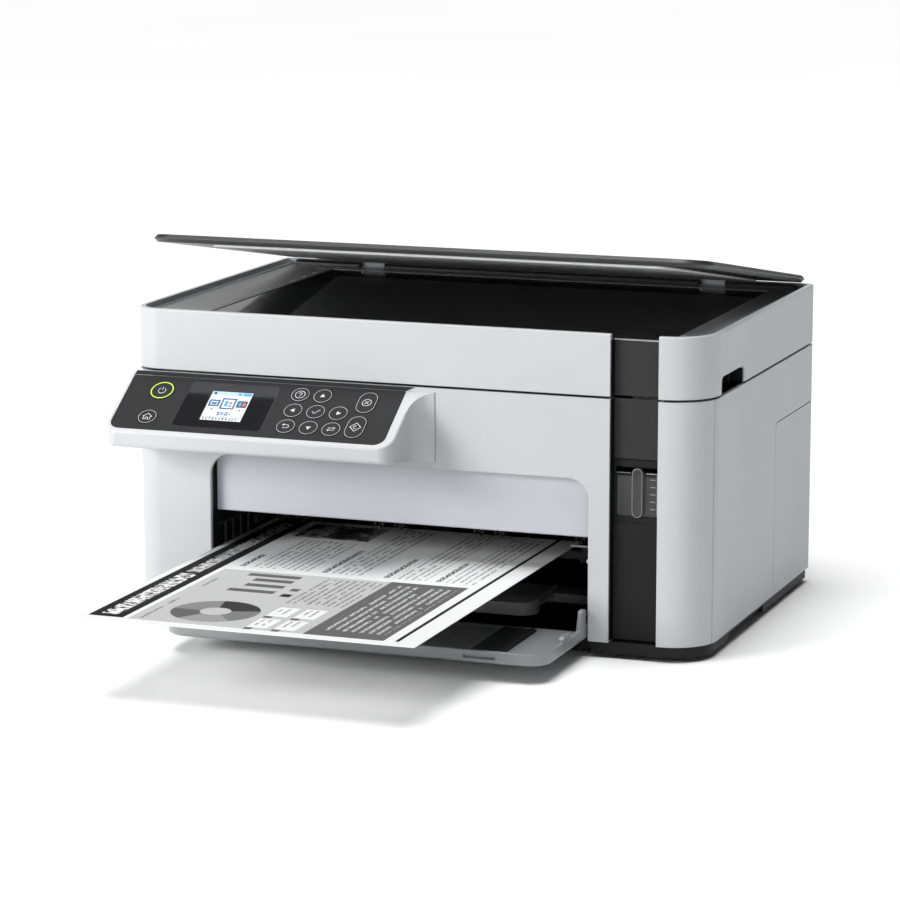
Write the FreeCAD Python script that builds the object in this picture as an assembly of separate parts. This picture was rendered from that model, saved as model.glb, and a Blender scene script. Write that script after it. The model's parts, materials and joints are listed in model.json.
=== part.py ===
import FreeCAD, Part
import math
import os

V = FreeCAD.Vector

# ---------------------------------------------------------------- driving dimensions (mm)
# The origin is on the surface the machine stands on, under the middle of its body.
# +X is to the right seen from the front, +Y is to the back, +Z is up.
WIDTH = 375.0
BODY_DEPTH = 250.0
HALF_W = WIDTH / 2
FRONT_Y = -BODY_DEPTH / 2
BACK_Y = BODY_DEPTH / 2
LEFT_CORNER_R = 18.0
RIGHT_CORNER_R = 28.0
BACK_CORNER_R = 5.0
WALL = 2.5
SEAM = 0.6

BASE_BOTTOM = 3.0
WHITE_BOTTOM = 10.0
BODY_TOP = 159.7
SCANNER_BOTTOM = 161.2
RIM_Z = 199.0

# paper mouth, an arch in the front panel
ARCH_LEFT = -134.3
ARCH_RIGHT = 113.7
ARCH_TOP = 109.5
ARCH_R = 13.0
COVER_FACE_Y = -117.0
COVER_BOTTOM = 72.2

# dark column at the right of the front
COLUMN_LEFT = 127.0
COLUMN_RIGHT = 157.2
COLUMN_FACE_Y = -119.0
COLUMN_BACK_Y = -117.0
COLUMN_TOP = 195.2
COLUMN_PLAY = 0.5
WINDOW_LOW = 84.0
WINDOW_HIGH = 122.4

# control panel, measured down its slope (s) and out of its face (n)
PANEL_TILT = 33.0
PANEL_TOP_Z = 157.0
PANEL_LEFT = -187.5
PANEL_RIGHT = 2.9
PANEL_LENGTH = 52.0
PANEL_LIP = 10.2
PLATE_T = 2.5
BUTTON_R = 6.1
BUTTON_GAP = 0.3
BUTTON_FLANGE = 0.75

# flap over the lower paper mouth, modelled open
FLAP_LEFT = -133.6
FLAP_RIGHT = 113.0
FLAP_FRONT = -203.0
FLAP_BOTTOM = 11.0
FLAP_TOP = 18.5
FLAP_AXIS_Y = -120.0
FLAP_AXIS_Z = 16.0
FLAP_PIN_R = 1.6
RUNNING = 0.05

# paper path
SHEET_LEFT = -131.5
SHEET_W = 210.0
SHEET_L = 297.0
SHEET_BACK = -30.0
SHEET_Z = 49.4
SHEET_T = 0.3
FEED_Y = 18.0
FEED_Z = 42.6
FEED_R = 6.4
EXIT_Y = -42.0
EXIT_Z = 43.9
EXIT_R = 5.0
SHAFT_R = 3.0
GEAR_MODULE = 1.0
FEED_TEETH = 26
EXIT_TEETH = 22
IDLER_TEETH = 38
GEAR_LEFT = -172.0
GEAR_W = 6.0

# print carriage
ROD_Y = 24.0
ROD_Z = 80.0
ROD_R = 4.0
CARRIAGE_LEFT = 125.0
CARRIAGE_W = 46.0
BELT_Y = 28.0
BELT_W = 6.0
BELT_Z = 120.0
PULLEY_X = 160.0
PULLEY_R = 6.0

# scanner and lid
CASE_WALL = 3.5
BEZEL_TOP = 195.8
GLASS_LEFT = -143.0
GLASS_RIGHT = 162.0
GLASS_FRONT = -117.0
GLASS_BACK = 102.0
GLASS_TOP = 195.5
GLASS_T = 3.0
LID_LEFT = -182.3
LID_RIGHT = 181.0
LID_FRONT = -114.0
LID_T = 4.8
LID_AXIS_Y = 122.0
LID_AXIS_Z = 202.0
LID_OPEN = 9.7
LID_KNUCKLE_X = 120.0
MAT_LEFT = -142.0
MAT_RIGHT = 153.0
MAT_T = 1.4
SCANNER_AXIS_Y = 129.0
SCANNER_AXIS_Z = 158.0
SCANNER_EAR_X = 120.0

# rear unit
REAR_HALF_W = 140.0
REAR_BACK = 178.0
REAR_TOP = 118.0


# ---------------------------------------------------------------- shape helpers
def block(x0, x1, y0, y1, z0, z1):
    return Part.makeBox(x1 - x0, y1 - y0, z1 - z0, V(x0, y0, z0))


def rod_x(radius, x0, x1, y, z):
    return Part.makeCylinder(radius, x1 - x0, V(x0, y, z), V(1, 0, 0))


def rod_y(radius, y0, y1, x, z):
    return Part.makeCylinder(radius, y1 - y0, V(x, y0, z), V(0, 1, 0))


def rod_z(radius, z0, z1, x, y):
    return Part.makeCylinder(radius, z1 - z0, V(x, y, z0), V(0, 0, 1))


def fuse(shapes):
    joined = shapes[0].multiFuse(shapes[1:])
    return joined.removeSplitter()


PLANES = {
    "xy": (lambda u, v, s: V(u, v, s), V(0, 0, 1)),
    "yz": (lambda u, v, s: V(s, u, v), V(1, 0, 0)),
    "xz": (lambda u, v, s: V(u, s, v), V(0, 1, 0)),
}


def outline(points, plane, start):
    """A face with the corners (u, v, radius), each rounded to its radius."""
    place = PLANES[plane][0]
    corners = [V(p[0], p[1], 0) for p in points]
    stretches = []
    for i, p in enumerate(corners):
        radius = points[i][2]
        if radius == 0:
            stretches.append((p, None, p))
            continue
        back = (corners[i - 1] - p).normalize()
        ahead = (corners[(i + 1) % len(corners)] - p).normalize()
        half = back.getAngle(ahead) / 2
        reach = radius / math.tan(half)
        middle = (back + ahead).normalize()
        apex = p + middle * (radius / math.sin(half) - radius)
        stretches.append((p + back * reach, apex, p + ahead * reach))
    edges = []
    for i, (begin, apex, end) in enumerate(stretches):
        before = stretches[i - 1][2]
        if (before - begin).Length > 1e-6:
            edges.append(Part.LineSegment(place(*before[:2], start), place(*begin[:2], start)).toShape())
        if apex is not None:
            knots = [place(*k[:2], start) for k in (begin, apex, end)]
            edges.append(Part.Arc(*knots).toShape())
    return Part.Face(Part.Wire(edges))


def prism(points, plane, start, end):
    return outline(points, plane, start).extrude(PLANES[plane][1] * (end - start))


def rounded_block(x0, x1, y0, y1, z0, z1, front_left, front_right, back_right, back_left):
    corners = [(x0, y0, front_left), (x1, y0, front_right), (x1, y1, back_right), (x0, y1, back_left)]
    return prism(corners, "xy", z0, z1)


def body_block(inset, z0, z1):
    """The plan of the whole machine, drawn in by inset."""
    return rounded_block(
        -HALF_W + inset, HALF_W - inset, FRONT_Y + inset, BACK_Y - inset, z0, z1,
        LEFT_CORNER_R - inset, RIGHT_CORNER_R - inset,
        max(BACK_CORNER_R - inset, 1.0), max(BACK_CORNER_R - inset, 1.0),
    )


def soften(shape, radius, wanted):
    """Round the edges that wanted() picks, or leave the shape as it is if they can't be rounded."""
    edges = [e for e in shape.Edges if wanted(e)]
    if not edges:
        return shape
    try:
        rounded = shape.makeFillet(radius, edges)
    except Part.OCCError:
        return shape
    sound = rounded.isValid() and len(rounded.Solids) == len(shape.Solids)
    return rounded if sound else shape


def at_z(height):
    return lambda e: abs(e.BoundBox.ZMin - height) < 0.01 and abs(e.BoundBox.ZMax - height) < 0.01


def at_y(depth):
    return lambda e: abs(e.BoundBox.YMin - depth) < 0.01 and abs(e.BoundBox.YMax - depth) < 0.01


def lay_on_panel(shape):
    """Turn a piece drawn flat, with its face at z = 0 and its top edge at y = 0, onto the panel's slope."""
    shape.rotate(V(0, 0, 0), V(1, 0, 0), PANEL_TILT)
    shape.translate(V(0, FRONT_Y, PANEL_TOP_Z))
    return shape


def gear(teeth, y, z, phase):
    """A spur gear on an axis along X, with a tooth centred at the angle phase from +Y towards +Z."""
    pitch_r = GEAR_MODULE * teeth / 2
    root_r = pitch_r - 1.2 * GEAR_MODULE
    tip_r = pitch_r + 0.8 * GEAR_MODULE
    step = 2 * math.pi / teeth
    points = []
    for k in range(teeth):
        middle = phase + k * step
        for radius, share in ((root_r, -0.31), (tip_r, -0.12), (tip_r, 0.12), (root_r, 0.31)):
            angle = middle + share * step
            points.append((y + radius * math.cos(angle), z + radius * math.sin(angle), 0))
    return prism(points, "yz", GEAR_LEFT, GEAR_LEFT + GEAR_W)


# ---------------------------------------------------------------- base and outer panels
def base_tray():
    """Black bucket: a shallow pan, and the two upright side walls of the paper mouth."""
    pan = body_block(2.0, BASE_BOTTOM, WHITE_BOTTOM)
    pan = pan.cut(block(ARCH_LEFT + 0.1, ARCH_RIGHT + 1.8, -130, COVER_FACE_Y - 0.5, 0, 20))
    pan = pan.cut(block(-180, 180, -112, 118, BASE_BOTTOM + 3, 20))
    for side in (-1, 1):
        edge = sorted((side * 170, side * 190))
        pan = pan.cut(block(edge[0], edge[1], -66, 15, 0, BASE_BOTTOM + 4))
    pieces = [pan]
    for inner, outer in ((ARCH_LEFT, ARCH_LEFT - WALL), (ARCH_RIGHT, ARCH_RIGHT + WALL)):
        x0, x1 = sorted((inner, outer))
        low_wall = [(-122.3, 6, 0), (30, 6, 0), (30, 51, 3), (-62, 51, 3), (-62, 120, 0), (-122.3, 120, 0)]
        pieces.append(prism(low_wall, "yz", x0, x1))
    pieces.append(block(ARCH_LEFT - 0.1, -124.0, -100, 20, 17.0, 19.3))
    pieces.append(block(104.0, ARCH_RIGHT + 0.1, -100, 20, 17.0, 19.3))
    body = fuse(pieces)
    body = body.cut(rod_x(FLAP_PIN_R + RUNNING, -140, 120, FLAP_AXIS_Y, FLAP_AXIS_Z))
    body = body.cut(rod_x(SHAFT_R + RUNNING, -140, 120, FEED_Y, FEED_Z))
    body = body.cut(rod_x(SHAFT_R + RUNNING, -140, 120, EXIT_Y, EXIT_Z))
    return body


def rubber_feet():
    places = ((-160, -98), (160, -98), (-160, 98), (160, 98))
    return Part.makeCompound([rod_z(9.0, 0, BASE_BOTTOM, x, y) for x, y in places])


def body_ring():
    return body_block(0, WHITE_BOTTOM, BODY_TOP).cut(body_block(WALL, 0, 200))


def front_panel():
    """White front with the arched mouth, wrapped round the left corner."""
    panel = body_ring().common(block(-200, COLUMN_LEFT, -130, -100, 0, 200))
    panel = panel.fuse(block(COLUMN_LEFT - 2.4, COLUMN_LEFT, -123, -115, WHITE_BOTTOM, BODY_TOP))
    arch = [
        (ARCH_LEFT, 0, 0), (ARCH_RIGHT, 0, 0),
        (ARCH_RIGHT, ARCH_TOP, ARCH_R), (ARCH_LEFT, ARCH_TOP, ARCH_R),
    ]
    panel = panel.cut(prism(arch, "xz", -130, -120))
    panel = panel.cut(block(-182, -2.8, -126, -122, 120, PANEL_TOP_Z - 0.4))
    panel = panel.removeSplitter()

    def arch_edge(e):
        box = e.BoundBox
        inside = ARCH_LEFT - 0.1 < box.XMin and box.XMax < ARCH_RIGHT + 0.1 and box.ZMax < ARCH_TOP + 0.1
        return at_y(FRONT_Y)(e) and inside and box.ZMax > WHITE_BOTTOM + 0.1

    return soften(panel, 0.9, arch_edge)


def left_side_panel():
    panel = body_ring().common(block(-200, -182.3, -100 + SEAM, 130, 0, 200))
    return panel


def side_cut():
    """The outline of the right rear panel in the side wall."""
    corners = [(31.5, 8, 0), (140, 8, 0), (140, 122.4, 0), (31.5, 122.4, 5.5)]
    return prism(corners, "yz", 180, 200)


def right_side_panel():
    panel = body_ring().common(block(182.3, 200, -105.2 + SEAM, 130, 0, 200))
    return panel.cut(side_cut())


def right_rear_panel():
    """Cover over the waste ink box, screwed to the side."""
    corners = [(31.5 + SEAM, 8, 0), (140, 8, 0), (140, 122.4 - SEAM, 0), (31.5 + SEAM, 122.4 - SEAM, 5.0)]
    region = prism(corners, "yz", 182.3, 200)
    return body_ring().common(region)


def right_corner_panel():
    panel = body_ring().common(block(COLUMN_RIGHT, 200, -130, -105.2, 0, 200))
    panel = panel.fuse(block(COLUMN_RIGHT, COLUMN_RIGHT + 2.4, -123, -115, WHITE_BOTTOM, BODY_TOP))
    return panel.removeSplitter()


def rear_panel():
    """Back wall with openings for the rear unit, the mains inlet and the data socket."""
    panel = body_ring().common(block(-182.0, 182.0, 120, 130, 0, 200))
    panel = panel.cut(block(-REAR_HALF_W + 4, REAR_HALF_W - 4, 110, 130, 16, REAR_TOP - 6))
    panel = panel.cut(block(-177.2, -150.8, 110, 130, 19.8, 42.2))
    panel = panel.cut(block(-172.6, -158.3, 110, 130, 69.8, 82.7))
    lugs = []
    for x in (-SCANNER_EAR_X, SCANNER_EAR_X):
        for side in (-1, 1):
            x0, x1 = sorted((x + side * 6, x + side * 10))
            lugs.append(block(x0, x1, BACK_Y - 1, SCANNER_AXIS_Y, SCANNER_AXIS_Z - 4, SCANNER_AXIS_Z + 1.7))
            lugs.append(rod_x(4.0, x0, x1, SCANNER_AXIS_Y, SCANNER_AXIS_Z))
        lugs.append(rod_x(2.0, x - 8, x + 8, SCANNER_AXIS_Y, SCANNER_AXIS_Z))
    panel = fuse([panel] + lugs)
    trim = block(-200, 200, 100, BACK_Y + 0.1, BODY_TOP, BODY_TOP + 5)
    return panel.cut(trim)


def inner_deck():
    """Black deck under the scanner, open over the carriage and over the ink filler."""
    deck = body_block(WALL + 0.3, 151.5, 154.5)
    deck = deck.cut(block(-160, 180, -28, 62, 100, 200))
    deck = deck.cut(block(124, 180, -110, -34, 100, 200))
    deck = deck.cut(block(COLUMN_LEFT - 3, COLUMN_RIGHT + 3, -130, -114.5, 100, 200))
    return deck


def rear_cover():
    """Rear paper turn: a box shell with a sloped top and curved paper ribs inside."""
    y0 = BACK_Y + 0.4
    outer = [(y0, 14, 0), (REAR_BACK, 14, 8), (REAR_BACK, REAR_TOP - 22, 12), (y0 + 14, REAR_TOP, 8), (y0, REAR_TOP, 0)]
    inner = [
        (y0 - 5, 17, 0), (REAR_BACK - 3, 17, 6), (REAR_BACK - 3, REAR_TOP - 23.5, 9),
        (y0 + 13, REAR_TOP - 3, 6), (y0 - 5, REAR_TOP - 3, 0),
    ]
    shell = prism(outer, "yz", -REAR_HALF_W, REAR_HALF_W)
    shell = soften(shell, 3.0, lambda e: e.BoundBox.XLength < 0.01 and e.BoundBox.YMax > y0 + 0.5)
    shell = shell.cut(prism(inner, "yz", -REAR_HALF_W + 3, REAR_HALF_W - 3))
    pieces = [shell]
    rib = [(y0 + 2, 17, 0), (REAR_BACK - 2, 17, 0), (REAR_BACK - 2, 90, 0), (y0 + 2, 108, 0)]
    hollow = Part.makeCylinder(36.0, 10, V(-5, y0 + 2, 58), V(1, 0, 0))
    for x in range(-120, 121, 40):
        one = prism(rib, "yz", x - 1, x + 1)
        cutter = hollow.copy()
        cutter.translate(V(x, 0, 0))
        one = one.cut(cutter).common(block(x - 1, x + 1, y0, REAR_BACK - 2, 16, REAR_TOP - 2))
        pieces.append(one)
    joined = fuse(pieces)
    outside = prism(outer, "yz", -REAR_HALF_W, REAR_HALF_W)
    return joined.common(outside)


# ---------------------------------------------------------------- front trim and ink column
def front_cover():
    """Light cover set back inside the arch; its lower edge turns inwards."""
    face = block(ARCH_LEFT + 0.8, ARCH_RIGHT - 0.8, COVER_FACE_Y, COVER_FACE_Y + 2.3, COVER_BOTTOM, 118)
    lip = block(ARCH_LEFT + 0.8, ARCH_RIGHT - 0.8, COVER_FACE_Y, COVER_FACE_Y + 12, COVER_BOTTOM, COVER_BOTTOM + 2.2)
    cover = fuse([face, lip])
    low_front = lambda e: at_y(COVER_FACE_Y)(e) and at_z(COVER_BOTTOM)(e)
    return soften(cover, 1.2, low_front)


def column_plate(z0, z1):
    x0 = COLUMN_LEFT + COLUMN_PLAY
    x1 = COLUMN_RIGHT - COLUMN_PLAY
    plate = block(x0, x1, COLUMN_FACE_Y, COLUMN_BACK_Y, z0, z1)
    return soften(plate, 0.5, at_y(COLUMN_FACE_Y))


def column_upper_plate():
    return column_plate(WINDOW_HIGH + 0.4, BODY_TOP)


def column_lower_plate():
    """Lower plate, with a stepped-back window frame at its top for the ink level."""
    low = column_plate(WHITE_BOTTOM + 1, WINDOW_LOW - 0.4)
    x0 = COLUMN_LEFT + COLUMN_PLAY
    x1 = COLUMN_RIGHT - COLUMN_PLAY
    frame = block(x0, x1, COLUMN_FACE_Y + 1.0, COLUMN_BACK_Y, WINDOW_LOW - 0.4, WINDOW_HIGH)
    frame = frame.cut(block(x0 + 1.6, x1 - 1.2, -130, -110, WINDOW_LOW + 3.5, WINDOW_HIGH - 4.5))
    return fuse([low, frame])


def ink_tank():
    """Smoky clear tank with its filler neck and the lugs of the cap's hinge."""
    tank = block(119, 181, COLUMN_BACK_Y + 0.2, -32, 50, 114)
    tank = soften(tank, 2.0, lambda e: e.BoundBox.ZLength < 0.01 and abs(e.BoundBox.ZMin - 114) < 0.1)
    corner = body_block(WALL + 0.3, 40, 130)
    tank = tank.common(corner)
    tank = tank.cut(block(110, COLUMN_LEFT + 0.3, -130, -114.7, 40, 130))
    tank = tank.cut(block(COLUMN_RIGHT - 0.3, COLUMN_RIGHT + 2.7, -130, -114.7, 40, 130))
    neck = rod_z(8.0, 112, 122, 152, -72)
    lugs = [
        prism([(-60, 112, 0), (-52, 112, 0), (-52, 127.5, 3), (-60, 127.5, 3)], "yz", x, x + 3.2)
        for x in (138.4, 162.4)
    ]
    tank = fuse([tank, neck] + lugs)
    return tank.cut(rod_x(1.5 + RUNNING, 130, 170, -56, 124))


def tank_cap():
    """Filler cap on its own hinge, with two stub pins."""
    lid = rounded_block(142, 162, -84, -57, 122.4, 128, 6, 6, 2.5, 2.5)
    lid = soften(lid, 1.0, at_z(128))
    barrel = rod_x(3.0, 142, 162, -56, 124)
    pins = rod_x(1.5, 139.5, 164.5, -56, 124)
    return fuse([lid, barrel, pins])


def sight_window():
    """Clear upright pill over the ink level."""
    corners = [(139.7, 87.5, 3.25), (146.3, 87.5, 3.25), (146.3, 117.6, 3.25), (139.7, 117.6, 3.25)]
    pill = prism(corners, "xz", COLUMN_FACE_Y - 1.2, COLUMN_BACK_Y + 0.15)
    return soften(pill, 1.0, at_y(COLUMN_FACE_Y - 1.2))


# ---------------------------------------------------------------- control panel
def panel_housing():
    """White wedge that carries the controls, flared into the front panel at its right end."""
    slope_y = FRONT_Y - PANEL_LENGTH * math.cos(math.radians(PANEL_TILT))
    slope_z = PANEL_TOP_Z - PANEL_LENGTH * math.sin(math.radians(PANEL_TILT))
    side = [
        (FRONT_Y, PANEL_TOP_Z, 0), (slope_y, slope_z, 2.5),
        (slope_y + 0.6, slope_z - PANEL_LIP, 3.0), (FRONT_Y, slope_z - PANEL_LIP - 4.5, 0),
    ]
    wedge = prism(side, "yz", PANEL_LEFT, 30)
    low_z = slope_z - PANEL_LIP - 4.5
    wrap = block(PANEL_LEFT, PANEL_LEFT + LEFT_CORNER_R - 3, FRONT_Y - 2, FRONT_Y + 12, low_z, PANEL_TOP_Z)
    wrap = wrap.cut(block(PANEL_LEFT - 1, 0, FRONT_Y - 3, FRONT_Y, low_z - 1, PANEL_TOP_Z + 1))
    wedge = wedge.fuse(wrap.cut(body_block(0, 90, 170))).removeSplitter()
    plan = [
        (PANEL_LEFT, -100, 0), (PANEL_LEFT, slope_y, 10), (PANEL_RIGHT, slope_y, 10), (PANEL_RIGHT, -100, 0),
    ]
    flare_plan = [
        (PANEL_RIGHT - 5, FRONT_Y - 16, 0), (PANEL_RIGHT, FRONT_Y - 16, 0),
        (PANEL_RIGHT, FRONT_Y + 0.15, 15), (28, FRONT_Y + 0.15, 0), (28, -100, 0), (PANEL_RIGHT - 5, -100, 0),
    ]
    housing = wedge.common(prism(plan, "xy", 90, 170))

    def top_rim(e):
        middle = e.CenterOfMass
        rise = (middle.y - FRONT_Y) * math.tan(math.radians(PANEL_TILT))
        return abs(middle.z - PANEL_TOP_Z - rise) < 0.6 and 5 < e.BoundBox.YLength and e.BoundBox.XLength < 12

    housing = soften(housing, 1.5, top_rim)
    housing = housing.fuse(wedge.common(prism(flare_plan, "xy", 90, 170))).removeSplitter()
    pocket = rounded_block(-185.2, -3.0, -49.2, -0.2, -PLATE_T, 5, 7, 7, 1, 1)
    cavity = block(-182, -6, -46.5, -2, -13, -PLATE_T + 0.1)
    housing = housing.cut(lay_on_panel(pocket))
    return housing.cut(lay_on_panel(cavity))


# name, x and s of each key's centre, width, height
POWER = ("button_power", -161.5, 13.4, 15.5, 15.5)
ROUND = 2 * BUTTON_R
KEYS = [
    POWER,
    ("button_home", -162.6, 37.6, ROUND, ROUND),
    ("button_help", -69.9, 9.4, ROUND, ROUND),
    ("button_up", -55.0, 9.4, ROUND, ROUND),
    ("button_left", -69.9, 23.7, ROUND, ROUND),
    ("button_ok", -55.0, 23.7, ROUND, ROUND),
    ("button_right", -40.1, 23.7, ROUND, ROUND),
    ("button_back", -69.9, 38.0, ROUND, ROUND),
    ("button_down", -55.0, 38.0, ROUND, ROUND),
    ("button_info", -40.1, 38.0, ROUND, ROUND),
    ("button_stop", -24.9, 12.8, 12.4, 18.7),
    ("button_start", -25.2, 34.8, 12.4, 19.4),
]
DISPLAY = (-144.0, -84.7, 3.3, 43.6)
LCD = (-127.8, -100.7, 10.7, 36.8)


def key_prism(x, s, width, height, grow, n0, n1):
    """A pill, or a disc where width and height are equal, grown all round by grow."""
    half = width / 2 + grow
    reach = (height - width) / 2
    if reach < 0.01:
        return rod_z(half, n0, n1, x, -s)
    corners = [
        (x - half, -s - reach - half, half - 0.02), (x + half, -s - reach - half, half - 0.02),
        (x + half, -s + reach + half, half - 0.02), (x - half, -s + reach + half, half - 0.02),
    ]
    return prism(corners, "xy", n0, n1)


def panel_plate():
    plate = rounded_block(-185.0, -3.2, -49.0, -0.4, -PLATE_T + 0.02, -0.2, 6.8, 6.8, 0.8, 0.8)
    for _, x, s, width, height in KEYS:
        plate = plate.cut(key_prism(x, s, width, height, BUTTON_GAP, -5, 5))
    x0, x1, s0, s1 = DISPLAY
    plate = plate.cut(rounded_block(x0 - 0.1, x1 + 0.1, -s1 - 0.1, -s0 + 0.1, -5, 5, 2, 2, 2, 2))
    return lay_on_panel(plate)


def key(x, s, width, height):
    cap = key_prism(x, s, width, height, 0, -3.0, 0.15)
    cap = soften(cap, 0.3, at_z(0.15))
    flange = key_prism(x, s, width, height, BUTTON_FLANGE, -4.6, -3.0)
    return lay_on_panel(fuse([cap, flange]))


def display_window():
    x0, x1, s0, s1 = DISPLAY
    window = rounded_block(x0, x1, -s1, -s0, -PLATE_T + 0.02, -0.1, 2, 2, 2, 2)
    x0, x1, s0, s1 = LCD
    window = window.cut(block(x0 - 0.1, x1 + 0.1, -s1 - 0.1, -s0 + 0.1, -5, 5))
    return lay_on_panel(window)


def lcd_module():
    x0, x1, s0, s1 = LCD
    screen = block(x0, x1, -s1, -s0, -3, -0.4)
    back = block(x0 - 4, x1 + 4, -s1 - 3, -s0 + 3, -6.5, -PLATE_T - 0.05)
    return lay_on_panel(fuse([screen, back]))


# ---------------------------------------------------------------- flap, tray and sheet
def output_flap():
    """Shallow open flap with hinge pins, a right-hand hook, a stay lever and a finger slot."""
    slab = rounded_block(FLAP_LEFT, FLAP_RIGHT, FLAP_FRONT, -118, FLAP_BOTTOM, FLAP_TOP, 14, 14, 0, 0)
    slab = soften(slab, 2.0, lambda e: at_z(FLAP_BOTTOM)(e) and e.BoundBox.YMin < -120)
    pocket = rounded_block(
        FLAP_LEFT + 3, FLAP_RIGHT - 3, FLAP_FRONT + 3, -100, FLAP_BOTTOM + 2.5, 30, 11, 11, 1, 1)
    slab = slab.cut(pocket)
    slab = soften(slab, 0.6, lambda e: at_z(FLAP_TOP)(e) and e.BoundBox.YMin < -120)
    hook = prism([(-169, 15, 0), (-154, 15, 0), (-154, 22, 2), (-169, 22, 4)], "yz", 110.0, FLAP_RIGHT)
    lever = prism([(-137, 15, 0), (-124, 15, 0), (-124, 30, 3), (-132, 30, 3)], "yz", 110.2, FLAP_RIGHT - 0.2)
    pins = [
        rod_x(FLAP_PIN_R, FLAP_LEFT - 2.8, FLAP_LEFT + 2, FLAP_AXIS_Y, FLAP_AXIS_Z),
        rod_x(FLAP_PIN_R, FLAP_RIGHT - 2, FLAP_RIGHT + 2.8, FLAP_AXIS_Y, FLAP_AXIS_Z),
    ]
    flap = fuse([slab, hook, lever] + pins)
    return flap.cut(block(62, 82, FLAP_FRONT - 1, FLAP_FRONT + 2.2, 13.6, 15.8))


def flap_edge_guide():
    """Low slider on the flap's floor that squares up the stack."""
    foot = rounded_block(60, 82, -194, -125, FLAP_BOTTOM + 2.6, 14.6, 2, 2, 2, 2)
    fence = rounded_block(79.5, 82, -190, -129, 14.4, 16.2, 1, 1, 1, 1)
    return fuse([foot, fence])


def output_tray():
    """Black tray under the exit roller, wider behind its front lip, with raised ribs."""
    front = rounded_block(-128, 75, -115, -60, 23.4, 25.2, 2, 10, 1, 1)
    lip = rounded_block(-128, 75, -115, -100, 19.6, 27.6, 2, 10, 1, 1)
    lip = lip.cut(rounded_block(-125, 72, -112, -99, 19, 25.2, 1, 7, 1, 1))
    back = block(-133, 108, -72, -52, 19.6, 25.2)
    ribs = [block(x - 0.8, x + 0.8, -98, -54, 25.0, 26.6) for x in range(-110, 71, 30)]
    tray = fuse([front, lip, back] + ribs)
    return tray


def printed_sheet():
    return block(SHEET_LEFT, SHEET_LEFT + SHEET_W, SHEET_BACK - SHEET_L, SHEET_BACK, SHEET_Z, SHEET_Z + SHEET_T)


# ---------------------------------------------------------------- paper drive
def idler_centre():
    """Where the idler meshes with both roller gears, below the line between them."""
    to_feed = GEAR_MODULE * (IDLER_TEETH + FEED_TEETH) / 2
    to_exit = GEAR_MODULE * (IDLER_TEETH + EXIT_TEETH) / 2
    span = math.hypot(FEED_Y - EXIT_Y, FEED_Z - EXIT_Z)
    along = (to_exit ** 2 - to_feed ** 2 + span ** 2) / (2 * span)
    drop = math.sqrt(to_exit ** 2 - along ** 2)
    uy = (FEED_Y - EXIT_Y) / span
    uz = (FEED_Z - EXIT_Z) / span
    return EXIT_Y + uy * along + uz * drop, EXIT_Z + uz * along - uy * drop


def meshed_phase(teeth, y, z):
    """The tooth angle that puts a gap of this gear over the idler's tooth."""
    cy, cz = idler_centre()
    towards = math.atan2(z - cz, y - cy)
    share = towards / (2 * math.pi / IDLER_TEETH)
    return towards + math.pi - (0.5 - share) * 2 * math.pi / teeth


def roller(y, z, radius, teeth, rings):
    shaft = rod_x(SHAFT_R, GEAR_LEFT - 2, ARCH_RIGHT + WALL + 1.5, y, z)
    sleeves = [rod_x(radius, x0, x1, y, z) for x0, x1 in rings]
    return fuse([shaft] + sleeves + [gear(teeth, y, z, meshed_phase(teeth, y, z))])


def feed_roller():
    return roller(FEED_Y, FEED_Z, FEED_R, FEED_TEETH, [(-130, 108)])


def exit_roller():
    rings = [(x - 6, x + 6) for x in range(-115, 91, 34)]
    return roller(EXIT_Y, EXIT_Z, EXIT_R, EXIT_TEETH, rings)


def drive_gear():
    y, z = idler_centre()
    stub = rod_x(4.0, GEAR_LEFT - 1.5, GEAR_LEFT + GEAR_W + 1.5, y, z)
    wheel = fuse([gear(IDLER_TEETH, y, z, 0.0), stub])
    return wheel.cut(rod_x(2.5 + RUNNING, GEAR_LEFT - 10, GEAR_LEFT + 20, y, z))


def platen():
    """Ribbed black platform under the print head."""
    plate = block(-133.5, 112.9, -30, 2, 43.0, 46.0)
    ribs = [block(x - 0.6, x + 0.6, -30, 2, 45.8, 48.6) for x in range(-126, 110, 14)]
    return fuse([plate] + ribs)


# ---------------------------------------------------------------- frame and carriage
def frame_rail():
    """Folded steel rail behind the carriage, with ears that hold the guide rod and a post for the idler."""
    web = block(-176, 178, 36, 37.5, 14, 140)
    flange = block(-176, 178, 36, 52, 138.5, 140)
    ears = [block(x, x + 1.5, 8, 37, 62, 104) for x in (-174.5, 175.0)]
    y, z = idler_centre()
    stub_foot = block(-176, -174.5, y - 9, 37, z - 8, z + 8)
    stub = rod_x(2.5, -176, GEAR_LEFT + GEAR_W + 2.5, y, z)
    rail = fuse([web, flange, stub_foot, stub] + ears)
    rail = rail.cut(rod_x(ROD_R + 0.02, -178, 180, ROD_Y, ROD_Z))
    rail = rail.cut(rod_y(9.5, 30, 40, -PULLEY_X, BELT_Z))
    rail = rail.cut(block(-130, 110, 30, 40, 14, 56))
    post = rod_y(4.5, BELT_Y - 1, 37, PULLEY_X, BELT_Z)
    return fuse([rail, post])


def carriage_rod():
    return rod_x(ROD_R, -176.5, 178.5, ROD_Y, ROD_Z)


def timing_belt():
    """Toothed belt, as one closed loop round the motor pulley and the far post."""
    def loop(radius):
        x = PULLEY_X + radius
        corners = [
            (-x, BELT_Z - radius, radius - 0.01), (x, BELT_Z - radius, radius - 0.01),
            (x, BELT_Z + radius, radius - 0.01), (-x, BELT_Z + radius, radius - 0.01),
        ]
        return prism(corners, "xz", BELT_Y, BELT_Y + BELT_W)
    return loop(PULLEY_R + 1.5).cut(loop(PULLEY_R + 0.3))


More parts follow.
